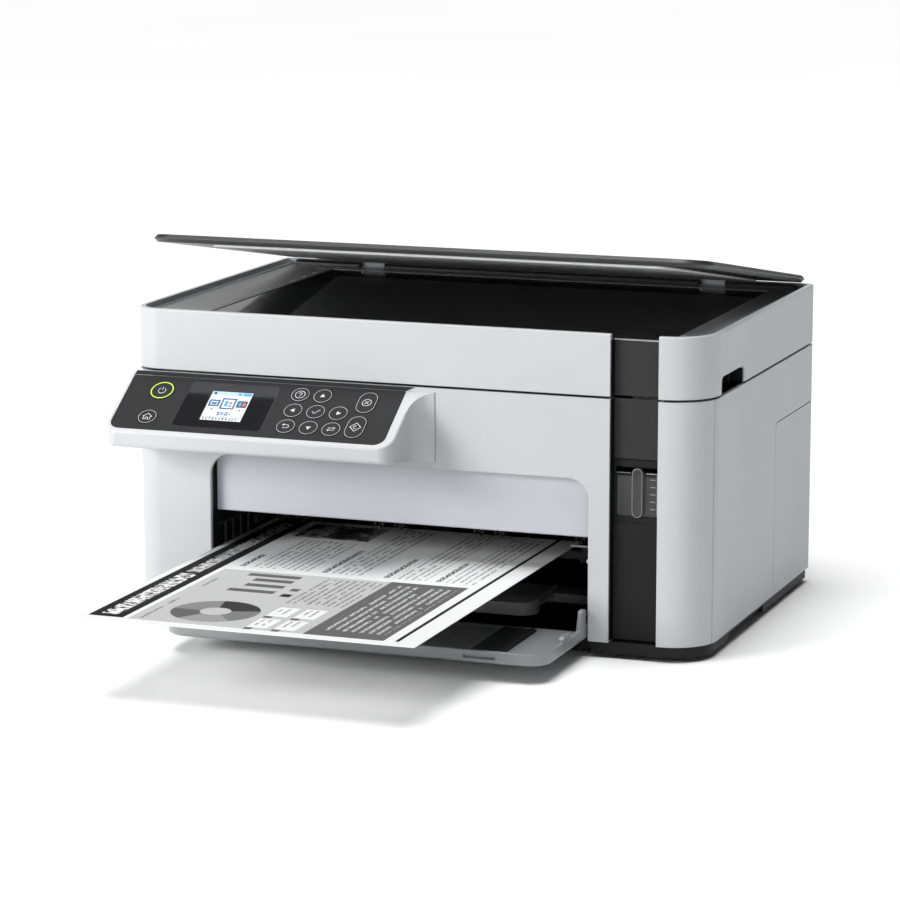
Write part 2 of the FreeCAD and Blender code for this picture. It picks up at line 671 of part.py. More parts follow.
def motor_pulley():
    wheel = rod_y(PULLEY_R, BELT_Y - 0.2, BELT_Y + BELT_W + 0.2, -PULLEY_X, BELT_Z)
    rims = [rod_y(PULLEY_R + 0.25, y, y + 0.8, -PULLEY_X, BELT_Z) for y in (BELT_Y - 1, BELT_Y + BELT_W + 0.2)]
    wheel = fuse([wheel] + rims)
    wheel = wheel.cut(rod_y(1.5 + RUNNING, 0, 60, -PULLEY_X, BELT_Z))
    return wheel.cut(block(-PULLEY_X + 1.2, -PULLEY_X + 2.6, BELT_Y - 2, BELT_Y + 2, BELT_Z - 0.7, BELT_Z + 0.7))


def carriage_motor():
    can = rod_y(14.0, 37.6, 66, -PULLEY_X, BELT_Z)
    can = can.cut(block(-200, -174.4, 30, 70, 100, 140))
    shaft = rod_y(1.5, BELT_Y - 1.5, 38, -PULLEY_X, BELT_Z)
    boss = rod_y(5.0, 36, 38, -PULLEY_X, BELT_Z)
    return fuse([can, boss, shaft])


def print_carriage():
    """Carriage body with its rod bearing and belt clip."""
    x0 = CARRIAGE_LEFT
    x1 = x0 + CARRIAGE_W
    shape = [(-30, 60, 3), (27, 60, 3), (34, 68, 3), (34, 96, 4), (10, 108, 4), (-26, 108, 6), (-30, 90, 4)]
    carriage = prism(shape, "yz", x0, x1)
    carriage = carriage.cut(block(x0 + 3, x1 - 3, -26, 12, 78, 120))
    clip = block(x0 + 16, x0 + 30, BELT_Y + 0.5, 34, 92, 112.1)
    carriage = fuse([carriage, clip])
    return carriage.cut(rod_x(ROD_R + RUNNING, x0 - 5, x1 + 5, ROD_Y, ROD_Z))


def print_head():
    x0 = CARRIAGE_LEFT + 8
    holder = block(x0, x0 + 30, -24, 4, 54, 60)
    nozzles = block(x0 + 6, x0 + 24, -20, -4, 52, 54)
    return fuse([holder, nozzles])


def capping_station():
    """Cap, wiper and pump block where the head parks."""
    tub = block(122, 174, -27, 14, 12, 44)
    tub = tub.cut(block(126, 170, -23, 10, 38, 60))
    cap = block(136, 160, -22, -2, 30, 50.5)
    cap = cap.cut(block(138, 158, -20, -4, 47, 60))
    wiper = block(164, 165.2, -20, -2, 30, 51.2)
    return fuse([tub, cap, wiper])


# ---------------------------------------------------------------- electrics
def main_board():
    """Circuit board with its chips and the square data socket that shows at the back."""
    board = block(-173.6, -172.0, 44, 121, 50, 112)
    chips = [block(-172.1, -169.6, y, y + 14, z, z + 14) for y, z in ((54, 60), (54, 86), (78, 88))]
    socket = block(-172.1, -159.0, 108, 124.4, 70.4, 82.1)
    socket = socket.cut(block(-169.4, -161.0, 112, 130, 72.3, 80.1))
    tongue = block(-167.2, -163.2, 111, 122, 74.6, 77.8)
    return fuse([board, socket, tongue] + chips)


def power_supply():
    brick = rounded_block(-182, -142, 42, 108, 10, 46, 2, 2, 2, 2)
    slots = [block(-176, -148, y, y + 2, 44, 50) for y in range(50, 100, 6)]
    for slot in slots:
        brick = brick.cut(slot)
    return brick


def power_inlet():
    """Two-pin mains inlet with a figure-of-eight well."""
    shell = rounded_block(-176.8, -151.2, 108.2, 126.0, 20.2, 41.8, 0.5, 0.5, 0.5, 0.5)
    well = [(-172.4, 26.6, 4.2), (-155.6, 26.6, 4.2), (-155.6, 35.4, 4.2), (-172.4, 35.4, 4.2)]
    shell = shell.cut(prism(well, "xz", 113, 130))
    pins = [rod_y(1.2, 112, 122, x, 31) for x in (-168.3, -159.7)]
    return fuse([shell] + pins)


def maintenance_box():
    """Waste ink box behind the screwed side cover."""
    box = rounded_block(144, 181.5, 44, 116, 12, 62, 2, 2, 2, 2)
    grip = block(176, 190, 66, 94, 26, 46)
    return box.cut(grip)


def case_screws():
    """Pan-head screws of the rear panel and the side cover."""
    screws = []
    for x in (-176.0, 176.0):
        for z in (100.0, 148.0):
            head = rod_y(3.2, BACK_Y + 0.05, BACK_Y + 1.9, x, z)
            head = head.cut(block(x - 2.2, x + 2.2, BACK_Y + 1.1, BACK_Y + 3, z - 0.4, z + 0.4))
            head = head.cut(block(x - 0.4, x + 0.4, BACK_Y + 1.1, BACK_Y + 3, z - 2.2, z + 2.2))
            screws.append(head)
    return Part.makeCompound(screws)


# ---------------------------------------------------------------- scanner and lid
def scanner_case():
    """White scanner body: rounded walls, floor, finger notches, lid knuckles and hinge ears."""
    case = body_block(0, SCANNER_BOTTOM, RIM_Z)
    case = soften(case, 1.0, at_z(RIM_Z))
    case = case.cut(body_block(CASE_WALL, SCANNER_BOTTOM + WALL, 210))
    column_back = block(COLUMN_LEFT - 3, COLUMN_RIGHT + 3, -122.5, COLUMN_BACK_Y + 3, SCANNER_BOTTOM, 189.0)
    pockets = []
    notches = []
    for side in (-1, 1):
        x0, x1 = sorted((side * 173, side * 185))
        pockets.append(block(x0, x1, -98, -41.5, SCANNER_BOTTOM, 175))
        corners = [(-94.7, 150, 0), (-44.7, 150, 0), (-44.7, 171.7, 4), (-94.7, 171.7, 4)]
        x0, x1 = sorted((side * 176, side * 200))
        notches.append(prism(corners, "yz", x0, x1))
    ears = []
    knuckles = []
    for x in (-SCANNER_EAR_X, SCANNER_EAR_X):
        ears.append(rod_x(3.4, x - 5.6, x + 5.6, SCANNER_AXIS_Y, SCANNER_AXIS_Z))
        arm = [(BACK_Y - 1, 162, 0), (SCANNER_AXIS_Y, SCANNER_AXIS_Z, 0), (SCANNER_AXIS_Y + 3.4, SCANNER_AXIS_Z, 0),
               (SCANNER_AXIS_Y + 3.4, 170, 3), (BACK_Y - 1, 176, 0)]
        ears.append(prism(arm, "yz", x - 5.6, x + 5.6))
        shape = [(LID_AXIS_Y - 2.4, 196, 0), (LID_AXIS_Y + 2.4, 196, 0),
                 (LID_AXIS_Y + 2.4, LID_AXIS_Z + 2.4, 2.2), (LID_AXIS_Y - 2.4, LID_AXIS_Z + 2.4, 2.2)]
        knuckles.append(prism(shape, "yz", x - 8, x + 8))
    case = fuse([case, column_back] + pockets + ears + knuckles)
    for notch in notches:
        case = case.cut(notch)
    case = case.cut(block(COLUMN_LEFT, COLUMN_RIGHT, -130, COLUMN_BACK_Y + 0.02, 150, 210))
    case = case.cut(rod_x(2.0 + RUNNING, -140, 140, SCANNER_AXIS_Y, SCANNER_AXIS_Z))
    return case.cut(rod_x(1.2 + RUNNING, -140, 140, LID_AXIS_Y, LID_AXIS_Z))


def scanner_strip():
    """Dark strip that carries the column up over the scanner body."""
    return column_plate(SCANNER_BOTTOM, COLUMN_TOP - 0.3)


def scanner_bezel():
    """Dark frame round the glass, sloping down to it, with a ledge that the glass rests on."""
    frame = body_block(CASE_WALL + 0.2, 189.2, BEZEL_TOP)
    frame = frame.cut(block(COLUMN_LEFT - 3, COLUMN_RIGHT + 3, -130, COLUMN_BACK_Y + 0.02, 180, 220))
    frame = frame.cut(block(GLASS_LEFT, GLASS_RIGHT, GLASS_FRONT, GLASS_BACK, GLASS_TOP - GLASS_T, 220))
    return frame.cut(block(GLASS_LEFT + 4, GLASS_RIGHT - 4, GLASS_FRONT + 4, GLASS_BACK - 4, 180, 220))


def scanner_glass():
    play = 0.2
    return block(
        GLASS_LEFT + play, GLASS_RIGHT - play, GLASS_FRONT + play, GLASS_BACK - play,
        GLASS_TOP - GLASS_T + 0.02, GLASS_TOP)


def scan_carriage():
    """Contact image sensor bar on its sliding holder."""
    holder = block(-138, -118, -108, 94, 168, 182)
    bar = block(-135, -121, -106, 92, 181, 188.0)
    bar = soften(bar, 1.0, at_z(188.0))
    return fuse([holder, bar])


def open_lid(shape):
    shape.rotate(V(0, LID_AXIS_Y, LID_AXIS_Z), V(1, 0, 0), -LID_OPEN)
    return shape


def lid_cover():
    """Thin scanner lid, tapered at its edges, notched round the hinge knuckles, with stub pins."""
    low = LID_AXIS_Z - LID_T / 2
    high = LID_AXIS_Z + LID_T / 2
    plan = rounded_block(LID_LEFT, LID_RIGHT, LID_FRONT, LID_AXIS_Y, low, high, 14, 22, 0, 0)
    plan = plan.fuse(rod_x(LID_T / 2, LID_LEFT, LID_RIGHT, LID_AXIS_Y, LID_AXIS_Z)).removeSplitter()
    rim = lambda e: at_z(high)(e) and e.CenterOfMass.y < LID_AXIS_Y - 2
    try:
        tapered = plan.makeChamfer(2.2, [e for e in plan.Edges if rim(e)])
        plan = tapered if tapered.isValid() else plan
    except Part.OCCError:
        plan = soften(plan, 1.0, rim)
    pins = []
    for x in (-LID_KNUCKLE_X, LID_KNUCKLE_X):
        plan = plan.cut(block(x - 8.5, x + 8.5, LID_AXIS_Y - 4.3, LID_AXIS_Y + 5, 190, 210))
        pins.append(rod_x(1.2, x - 10, x - 5, LID_AXIS_Y, LID_AXIS_Z))
        pins.append(rod_x(1.2, x + 5, x + 10, LID_AXIS_Y, LID_AXIS_Z))
    return open_lid(fuse([plan] + pins))


def document_mat():
    """Pale pressure pad on the lid's underside."""
    top = LID_AXIS_Z - LID_T / 2
    mat = rounded_block(MAT_LEFT, MAT_RIGHT, LID_FRONT + 9, 108, top - MAT_T, top, 4, 4, 4, 4)
    mat = soften(mat, 0.4, at_z(top - MAT_T))
    return open_lid(mat)


PIECES = {
    "base_tray": base_tray,
    "rubber_feet": rubber_feet,
    "front_panel": front_panel,
    "left_side_panel": left_side_panel,
    "right_side_panel": right_side_panel,
    "right_rear_panel": right_rear_panel,
    "right_corner_panel": right_corner_panel,
    "rear_panel": rear_panel,
    "inner_deck": inner_deck,
    "rear_cover": rear_cover,
    "front_cover": front_cover,
    "column_upper_plate": column_upper_plate,
    "column_lower_plate": column_lower_plate,
    "ink_tank": ink_tank,
    "tank_cap": tank_cap,
    "sight_window": sight_window,
    "panel_housing": panel_housing,
    "panel_plate": panel_plate,
    "display_window": display_window,
    "lcd_module": lcd_module,
    "output_flap": output_flap,
    "flap_edge_guide": flap_edge_guide,
    "output_tray": output_tray,
    "printed_sheet": printed_sheet,
    "feed_roller": feed_roller,
    "exit_roller": exit_roller,
    "drive_gear": drive_gear,
    "platen": platen,
    "frame_rail": frame_rail,
    "carriage_rod": carriage_rod,
    "timing_belt": timing_belt,
    "motor_pulley": motor_pulley,
    "carriage_motor": carriage_motor,
    "print_carriage": print_carriage,
    "print_head": print_head,
    "capping_station": capping_station,
    "main_board": main_board,
    "power_supply": power_supply,
    "power_inlet": power_inlet,
    "maintenance_box": maintenance_box,
    "case_screws": case_screws,
    "scanner_case": scanner_case,
    "scanner_strip": scanner_strip,
    "scanner_bezel": scanner_bezel,
    "scanner_glass": scanner_glass,
    "scan_carriage": scan_carriage,
    "lid_cover": lid_cover,
    "document_mat": document_mat,
}


def save(name, shape):
    shape.exportStep("parts/" + name + ".step")
    solids = len(shape.Solids)
    print(f"{name:22s} valid {shape.isValid()} solids {solids} volume {shape.Volume / 1000:9.2f} cm3")


os.makedirs("parts", exist_ok=True)
for name, make in PIECES.items():
    save(name, make())
for name, x, s, width, height in KEYS:
    save(name, key(x, s, width, height))
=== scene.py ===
import json
import math

import bmesh
import bpy
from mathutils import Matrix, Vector


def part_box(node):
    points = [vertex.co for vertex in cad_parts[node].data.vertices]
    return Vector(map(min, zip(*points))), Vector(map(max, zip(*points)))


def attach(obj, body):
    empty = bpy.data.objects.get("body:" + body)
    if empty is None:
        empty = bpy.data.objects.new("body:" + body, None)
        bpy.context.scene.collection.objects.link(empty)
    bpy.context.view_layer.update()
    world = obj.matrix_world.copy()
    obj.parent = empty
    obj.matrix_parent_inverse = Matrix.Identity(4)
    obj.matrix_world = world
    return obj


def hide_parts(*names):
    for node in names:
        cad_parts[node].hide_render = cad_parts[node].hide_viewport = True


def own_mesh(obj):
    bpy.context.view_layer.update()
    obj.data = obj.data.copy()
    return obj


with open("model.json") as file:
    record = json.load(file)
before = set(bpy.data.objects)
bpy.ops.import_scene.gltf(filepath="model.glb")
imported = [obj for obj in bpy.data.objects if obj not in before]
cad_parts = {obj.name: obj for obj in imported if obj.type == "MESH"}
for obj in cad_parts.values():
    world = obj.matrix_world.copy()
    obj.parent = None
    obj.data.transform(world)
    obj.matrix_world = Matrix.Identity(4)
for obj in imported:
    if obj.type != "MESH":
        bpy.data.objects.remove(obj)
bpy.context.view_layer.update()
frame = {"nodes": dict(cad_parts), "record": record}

MM = 0.001


# ---------------------------------------------------------------- materials
class Nodes:
    """A material's node tree with short ways to add and join nodes."""

    def __init__(self, name, space="Object"):
        self.material = bpy.data.materials.new(name)
        self.material.use_nodes = True
        self.tree = self.material.node_tree
        self.shader = self.tree.nodes["Principled BSDF"]
        self.place = self.add("ShaderNodeTexCoord").outputs[space]

    def add(self, kind, **inputs):
        node = self.tree.nodes.new(kind)
        for key, value in inputs.items():
            self.put(node, key.replace("_", " "), value)
        return node

    def put(self, node, socket, value):
        if isinstance(value, bpy.types.NodeSocket):
            self.tree.links.new(value, node.inputs[socket])
        else:
            node.inputs[socket].default_value = value

    def set(self, socket, value):
        self.put(self.shader, socket, value)

    def noise(self, scale, detail=2.0, roughness=0.5, place=None):
        node = self.add("ShaderNodeTexNoise", Scale=scale, Detail=detail, Roughness=roughness)
        self.put(node, "Vector", place or self.place)
        return node.outputs["Fac"]

    def math(self, operation, *values):
        node = self.add("ShaderNodeMath")
        node.operation = operation
        for number, value in enumerate(values):
            self.put(node, number, value)
        return node.outputs["Value"]

    def axes(self):
        node = self.add("ShaderNodeSeparateXYZ", Vector=self.place)
        return node.outputs["X"], node.outputs["Y"]

    def point(self, x, y):
        return self.add("ShaderNodeCombineXYZ", X=x, Y=y).outputs["Vector"]

    def ramp(self, factor, stops, stepped=False):
        node = self.add("ShaderNodeValToRGB", Fac=factor)
        node.color_ramp.interpolation = "CONSTANT" if stepped else "LINEAR"
        node.color_ramp.elements[0].position = stops[0][0]
        node.color_ramp.elements[0].color = opaque(stops[0][1])
        node.color_ramp.elements[1].position = stops[-1][0]
        node.color_ramp.elements[1].color = opaque(stops[-1][1])
        for position, colour in stops[1:-1]:
            node.color_ramp.elements.new(position).color = opaque(colour)
        return node.outputs["Color"]

    def spread(self, factor, low, high):
        node = self.add("ShaderNodeMapRange", Value=factor)
        node.inputs["To Min"].default_value = low
        node.inputs["To Max"].default_value = high
        return node.outputs["Result"]

    def bump(self, height, strength, distance, normal=None):
        node = self.add("ShaderNodeBump", Height=height, Strength=strength, Distance=distance)
        if normal is not None:
            self.put(node, "Normal", normal)
        return node.outputs["Normal"]

    def soft_edges(self, radius):
        node = self.add("ShaderNodeBevel", Radius=radius)
        node.samples = 6
        return node.outputs["Normal"]


def opaque(colour):
    return (*colour[:3], 1.0)


def tint(colour, factor):
    return tuple(min(1.0, c * factor) for c in colour[:3])


# the grain and the edge radius are in metres, and streaks are per metre
GRAIN = 0.00035
EDGE_RADIUS = 0.0006
STREAKS = 900.0
GLOW_ROUGH = 0.4


def moulded(name, colour, rough, depth=0.12, vary=0.03, coat=0.0, gloss=0.5):
    """Injection-moulded plastic: spark-eroded grain, faint flow marks, and edges that catch the light."""
    n = Nodes(name)
    cloud = n.noise(9.0, 3.0)
    n.set("Base Color", n.ramp(cloud, [(0.3, tint(colour, 1 - vary)), (0.7, tint(colour, 1 + vary))]))
    smear = n.noise(38.0, 4.0, 0.6)
    n.set("Roughness", n.spread(smear, rough - 0.05, rough + 0.05))
    n.set("IOR", 1.49)
    n.set("Specular IOR Level", gloss)
    if coat:
        n.set("Coat Weight", coat)
        n.set("Coat Roughness", 0.08)
    fine = n.add("ShaderNodeTexVoronoi", Vector=n.place, Scale=1 / GRAIN)
    wide = n.noise(1 / (GRAIN * 5), 2.0)
    first = n.bump(wide, depth * 0.5, 0.00012, n.soft_edges(EDGE_RADIUS))
    n.set("Normal", n.bump(fine.outputs["Distance"], depth, 0.00006, first))
    return n.material


def clear(name, colour, rough, alpha, grain=0.004):
    """Clear or smoky plastic seen as a tinted film, with faint waves in its surface."""
    n = Nodes(name)
    cloud = n.noise(60.0, 2.0)
    n.set("Base Color", n.ramp(cloud, [(0.3, tint(colour, 0.9)), (0.7, tint(colour, 1.08))]))
    n.set("Roughness", n.spread(cloud, rough, rough + 0.05))
    n.set("Alpha", alpha)
    n.set("IOR", 1.49)
    n.set("Normal", n.bump(n.noise(1 / grain, 1.0), 0.05, 0.0003, n.soft_edges(0.0004)))
    return n.material


def metal(name, colour, rough, stretch=(1, 1, 1)):
    """Rolled or ground metal with fine streaks along one axis."""
    n = Nodes(name)
    mapping = n.add("ShaderNodeMapping", Vector=n.place)
    mapping.inputs["Scale"].default_value = stretch
    lines = n.noise(STREAKS, 3.0, place=mapping.outputs["Vector"])
    n.set("Metallic", 1.0)
    n.set("Base Color", n.ramp(lines, [(0.3, tint(colour, 0.9)), (0.7, tint(colour, 1.05))]))
    n.set("Roughness", n.spread(lines, rough - 0.06, rough + 0.1))
    n.set("Normal", n.bump(lines, 0.1, 0.00008, n.soft_edges(0.0003)))
    return n.material


def rubber(name, colour):
    """Matt rubber with a little dust in it."""
    n = Nodes(name)
    dust = n.noise(220.0, 4.0, 0.7)
    n.set("Base Color", n.ramp(dust, [(0.35, tint(colour, 0.8)), (0.8, tint(colour, 1.5))]))
    n.set("Roughness", n.spread(dust, 0.7, 0.9))
    n.set("Normal", n.bump(dust, 0.2, 0.0001, n.soft_edges(0.0004)))
    return n.material


def board(name):
    """Solder mask with tracks under it."""
    n = Nodes(name)
    tracks = n.add("ShaderNodeTexBrick", Vector=n.place, Scale=220.0)
    tracks.inputs["Color1"].default_value = (0.015, 0.12, 0.05, 1)
    tracks.inputs["Color2"].default_value = (0.02, 0.16, 0.065, 1)
    tracks.inputs["Mortar"].default_value = (0.05, 0.28, 0.12, 1)
    n.set("Base Color", tracks.outputs["Color"])
    n.set("Roughness", n.spread(n.noise(300.0), 0.25, 0.4))
    n.set("Normal", n.bump(tracks.outputs["Fac"], 0.3, 0.0001))
    return n.material


PAPER_WHITE = (0.68, 0.68, 0.68)
PRINT_LIGHT = (0.43, 0.43, 0.43)
PRINT_DARK = (0.10, 0.10, 0.10)
PRINT_BLACK = (0.008, 0.008, 0.008)


def fibre(n):
    """Gives a material the tooth of uncoated paper."""
    tooth = n.noise(2600.0, 3.0, 0.7)
    n.set("Roughness", n.spread(tooth, 0.75, 0.9))
    n.set("Specular IOR Level", 0.2)
    n.set("Normal", n.bump(tooth, 0.08, 0.00005))


def printed(name, colour):
    """Plain paper, or one flat tone printed on it."""
    n = Nodes(name, "UV")
    mottle = n.noise(420.0, 3.0)
    n.set("Base Color", n.ramp(mottle, [(0.3, tint(colour, 0.97)), (0.7, tint(colour, 1.03))]))
    fibre(n)
    return n.material


def lettering(name, ground, ink, pitch, fill, letter, word_gap=0.36, start=0.0):
    """Print too small to read: rows of uneven strokes with gaps for words. It holds no letters."""
    n = Nodes(name, "UV")
    across, along = n.axes()
    rows = n.math("DIVIDE", n.math("SUBTRACT", across, start), pitch)
    row = n.math("MULTIPLY", n.math("FLOOR", rows), 7.31)
    in_row = n.math("COMPARE", n.math("FRACT", rows), 0.5, fill / 2)
    word_place = n.point(n.math("DIVIDE", along, letter * 5), row)
    words = n.math("GREATER_THAN", n.noise(1.0, 0.0, place=word_place), word_gap)
    height = n.math("MULTIPLY_ADD", n.math("FRACT", rows), 2.6, row)
    strokes = n.noise(1.0, 1.0, place=n.point(n.math("DIVIDE", along, letter * 0.42), height))
    body = n.math("MULTIPLY", in_row, words)
    inked = n.math("MULTIPLY", body, n.math("GREATER_THAN", strokes, 0.47))
    n.set("Base Color", n.ramp(inked, [(0.0, ground), (1.0, ink)]))
    fibre(n)
    return n.material


def ring_chart(name, centre, outer, inner, ground):
    """A ring chart in five tones round its centre."""
    n = Nodes(name, "UV")
    x, y = n.axes()
    dx = n.math("SUBTRACT", x, centre[0])
    dy = n.math("SUBTRACT", y, centre[1])
    radius = n.math("SQRT", n.math("MULTIPLY_ADD", dx, dx, n.math("MULTIPLY", dy, dy)))
    turn = n.math("MULTIPLY_ADD", n.math("ARCTAN2", dy, dx), 0.5 / math.pi, 0.5)
    tones = ((0.0, 0.10), (0.16, 0.26), (0.36, 0.16), (0.55, 0.03), (0.78, 0.20))
    sectors = n.ramp(turn, [(edge, (tone,) * 3) for edge, tone in tones], stepped=True)
    ring = n.math("COMPARE", radius, (outer + inner) / 2, (outer - inner) / 2)
    mix = n.add("ShaderNodeMixRGB", Fac=ring, Color1=opaque(ground), Color2=sectors)
    n.set("Base Color", mix.outputs["Color"])
    fibre(n)
    return n.material


def picture(name):
    """A dark printed picture of nothing in particular."""
    n = Nodes(name, "UV")
    shapes = n.noise(55.0, 3.0, 0.6)
    tones = ((0.35, 0.01), (0.5, 0.05), (0.56, 0.3), (0.7, 0.02))
    n.set("Base Color", n.ramp(shapes, [(edge, (tone,) * 3) for edge, tone in tones]))
    fibre(n)
    return n.material


def lit(name, colour, strength):
    """A part of the screen or a ring that glows."""
    n = Nodes(name)
    cell = n.noise(1500.0, 1.0)
    n.set("Base Color", n.ramp(cell, [(0.3, tint(colour, 0.55)), (0.7, tint(colour, 0.6))]))
    n.set("Emission Color", opaque(colour))
    n.set("Emission Strength", strength)
    n.set("Roughness", n.spread(cell, GLOW_ROUGH, GLOW_ROUGH + 0.1))
    return n.material


SLOT_MATERIALS = {
    "white_plastic": moulded("white_plastic", (0.462, 0.469, 0.484), 0.42),
    "cover_white": moulded("cover_white", (0.465, 0.477, 0.515), 0.38),
    "column_dark": moulded("column_dark", (0.016, 0.016, 0.0165), 0.42, vary=0.08, gloss=0.28),
    "black_plastic": moulded("black_plastic", (0.007, 0.007, 0.0073), 0.5, vary=0.1, gloss=0.25),
    "deck_plastic": moulded("deck_plastic", (0.15, 0.15, 0.152), 0.42, vary=0.06, gloss=0.5),
    "bezel_plastic": moulded("bezel_plastic", (0.29, 0.293, 0.30), 0.32, vary=0.05),
    "lid_plastic": moulded("lid_plastic", (0.032, 0.032, 0.033), 0.36, vary=0.06),
    "mat_foam": moulded("mat_foam", (0.62, 0.62, 0.62), 0.6, vary=0.03),
    "flap_plastic": moulded("flap_plastic", (0.24, 0.245, 0.25), 0.30, vary=0.03),
    "smoke_clear": clear("smoke_clear", (0.03, 0.03, 0.031), 0.12, 0.88),
    "clear_plastic": clear("clear_plastic", (0.07, 0.07, 0.072), 0.06, 0.35),
    "scanner_glass": clear("scanner_glass", (0.006, 0.006, 0.007), 0.03, 0.72, grain=0.05),
    "panel_black": moulded("panel_black", (0.020, 0.020, 0.021), 0.5, depth=0.05, vary=0.08, gloss=0.12),
    "display_black": moulded("display_black", (0.010, 0.010, 0.011), 0.10, depth=0.01, vary=0.05, coat=0.5),
    "lcd_screen": lit("lcd_screen", (0.80, 0.88, 0.96), 0.3),
    "key_black": moulded("key_black", (0.018, 0.018, 0.019), 0.48, depth=0.04, vary=0.08, gloss=0.14),
    "power_key": moulded("power_key", (0.018, 0.018, 0.019), 0.48, depth=0.04, vary=0.08, gloss=0.14),
    "paper": printed("paper", PAPER_WHITE),
    "steel": metal("steel", (0.62, 0.63, 0.64), 0.35, (1, 1, 12)),
    "ground_steel": metal("ground_steel", (0.75, 0.76, 0.78), 0.2, (0.2, 4, 4)),
    "belt_rubber": rubber("belt_rubber", (0.02, 0.02, 0.02)),
    "soft_rubber": rubber("soft_rubber", (0.03, 0.03, 0.03)),
    "roller_rubber": rubber("roller_rubber", (0.05, 0.05, 0.052)),
    "gear_nylon": moulded("gear_nylon", (0.70, 0.69, 0.65), 0.4),
    "board_green": board("board_green"),
    "supply_grey": moulded("supply_grey", (0.05, 0.05, 0.055), 0.5),
    "ink_pad_grey": moulded("ink_pad_grey", (0.12, 0.12, 0.13), 0.5),
}
LOWER_COLUMN = moulded("lower_column", (0.006, 0.006, 0.0062), 0.45, vary=0.08, gloss=0.2)
MARK_GREY = moulded("mark_grey", (0.62, 0.62, 0.63), 0.45, depth=0.02)
MARK_FAINT = moulded("mark_faint", (0.02, 0.02, 0.021), 0.5, depth=0.02)
RING_GLOW = lit("ring_glow", (0.50, 0.72, 0.05), 0.62)
LINER_GREY = moulded("liner_grey", (0.13, 0.132, 0.135), 0.42, vary=0.05)
TRAY_GREY = moulded("tray_grey", (0.16, 0.16, 0.162), 0.4, vary=0.05)
RIB_DARK = moulded("rib_dark", (0.035, 0.035, 0.036), 0.45, vary=0.06)
WHEEL_METAL = metal("wheel_metal", (0.16, 0.16, 0.165), 0.4)
TRIM_GREY = moulded("trim_grey", (0.30, 0.30, 0.31), 0.35, depth=0.02)


def dress_frame():
    """Gives each CAD node the material of its slot."""
    slots = {s["node"]: s["material_slot"] for s in frame["record"]["subparts"]}
    for name, node in frame["nodes"].items():
        for holder in node.material_slots:
            holder.material = SLOT_MATERIALS[slots[name]]
    for name, material in (("column_lower_plate", LOWER_COLUMN), ("output_tray", TRAY_GREY)):
        for holder in frame["nodes"][name].material_slots:
            holder.material = material


dress_frame()


# ---------------------------------------------------------------- mesh building
class Build:
    """Collects closed solids into one mesh. Sizes are in millimetres, laid out by a place function."""

    def __init__(self, place=None):
        self.mesh = bmesh.new()
        self.place = place or flat

    def solid(self, outline, low, high, material=0):
        """A straight-sided solid on a flat outline, counter-clockwise seen from above."""
        bottom = [self.mesh.verts.new(self.place(x, y, low)) for x, y in outline]
        top = [self.mesh.verts.new(self.place(x, y, high)) for x, y in outline]
        faces = [self.mesh.faces.new(top), self.mesh.faces.new(bottom[::-1])]
        for i in range(len(outline)):
            j = (i + 1) % len(outline)
            faces.append(self.mesh.faces.new((bottom[i], bottom[j], top[j], top[i])))
        for face in faces:
            face.material_index = material

    def line(self, points, width, low, high, closed=False, material=0):
        """A stroke of even width along a path, with mitred corners, as one closed solid."""
        inner, outer = offset(points, width / 2, closed)
        count = len(points)
        rings = [[self.mesh.verts.new(self.place(x, y, z)) for x, y in side]
                 for side, z in ((inner, low), (outer, low), (outer, high), (inner, high))]
        for i in range(count if closed else count - 1):
            j = (i + 1) % count
            for a in range(4):
                b = (a + 1) % 4
                face = self.mesh.faces.new((rings[a][i], rings[a][j], rings[b][j], rings[b][i]))
                face.material_index = material
        if not closed:
            for end in (0, count - 1):
                face = self.mesh.faces.new([ring[end] for ring in rings])
                face.material_index = material

    def block(self, x0, x1, y0, y1, z0, z1, material=0):
        self.solid([(x0, y0), (x1, y0), (x1, y1), (x0, y1)], z0, z1, material)

    def finish(self, name, body, materials, bevel=0.0):
        bmesh.ops.recalc_face_normals(self.mesh, faces=self.mesh.faces)
        data = bpy.data.meshes.new(name)
        self.mesh.to_mesh(data)
        self.mesh.free()
        for material in materials:
            data.materials.append(material)
        made = bpy.data.objects.new(name, data)
        bpy.context.collection.objects.link(made)
        if bevel:
            rounding = made.modifiers.new("edges", "BEVEL")
            rounding.width = bevel * MM
            rounding.segments = 2
            rounding.limit_method = "ANGLE"
        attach(made, body)
        return made


def flat(x, y, z):
    return Vector((x, y, z)) * MM


def offset(points, half, closed):
    """The two sides of a stroke along points, mitred at each corner."""
    count = len(points)
    left, right = [], []
    for i, (x, y) in enumerate(points):
        before = points[i - 1] if closed or i else None
        after = points[(i + 1) % count] if closed or i < count - 1 else None
        steps = [(x - before[0], y - before[1])] if before else []
        steps += [(after[0] - x, after[1] - y)] if after else []
        normals = [(-dy / math.hypot(dx, dy), dx / math.hypot(dx, dy)) for dx, dy in steps]
        nx = sum(a for a, _ in normals)
        ny = sum(b for _, b in normals)
        size = math.hypot(nx, ny)
        nx, ny = nx / size, ny / size
        reach = half / max(0.35, nx * normals[0][0] + ny * normals[0][1])
        left.append((x + nx * reach, y + ny * reach))
        right.append((x - nx * reach, y - ny * reach))
    return left, right


def arc(cx, cy, radius, start, end, steps=20):
    """Points along an arc, with its angles in degrees."""
    turns = [math.radians(start + (end - start) * i / steps) for i in range(steps + 1)]
    return [(cx + radius * math.cos(t), cy + radius * math.sin(t)) for t in turns]


def circle(cx, cy, radius, steps=40):
    return arc(cx, cy, radius, 0, 360, steps)[:-1]


def pill(width, height, steps=20):
    """The outline of an upright pill, or of a circle where its sides are equal."""
    radius = width / 2
    reach = (height - width) / 2
    if reach < 0.01:
        return circle(0, 0, radius, steps * 2)
    return arc(0, reach, radius, 0, 180, steps) + arc(0, -reach, radius, 180, 360, steps)


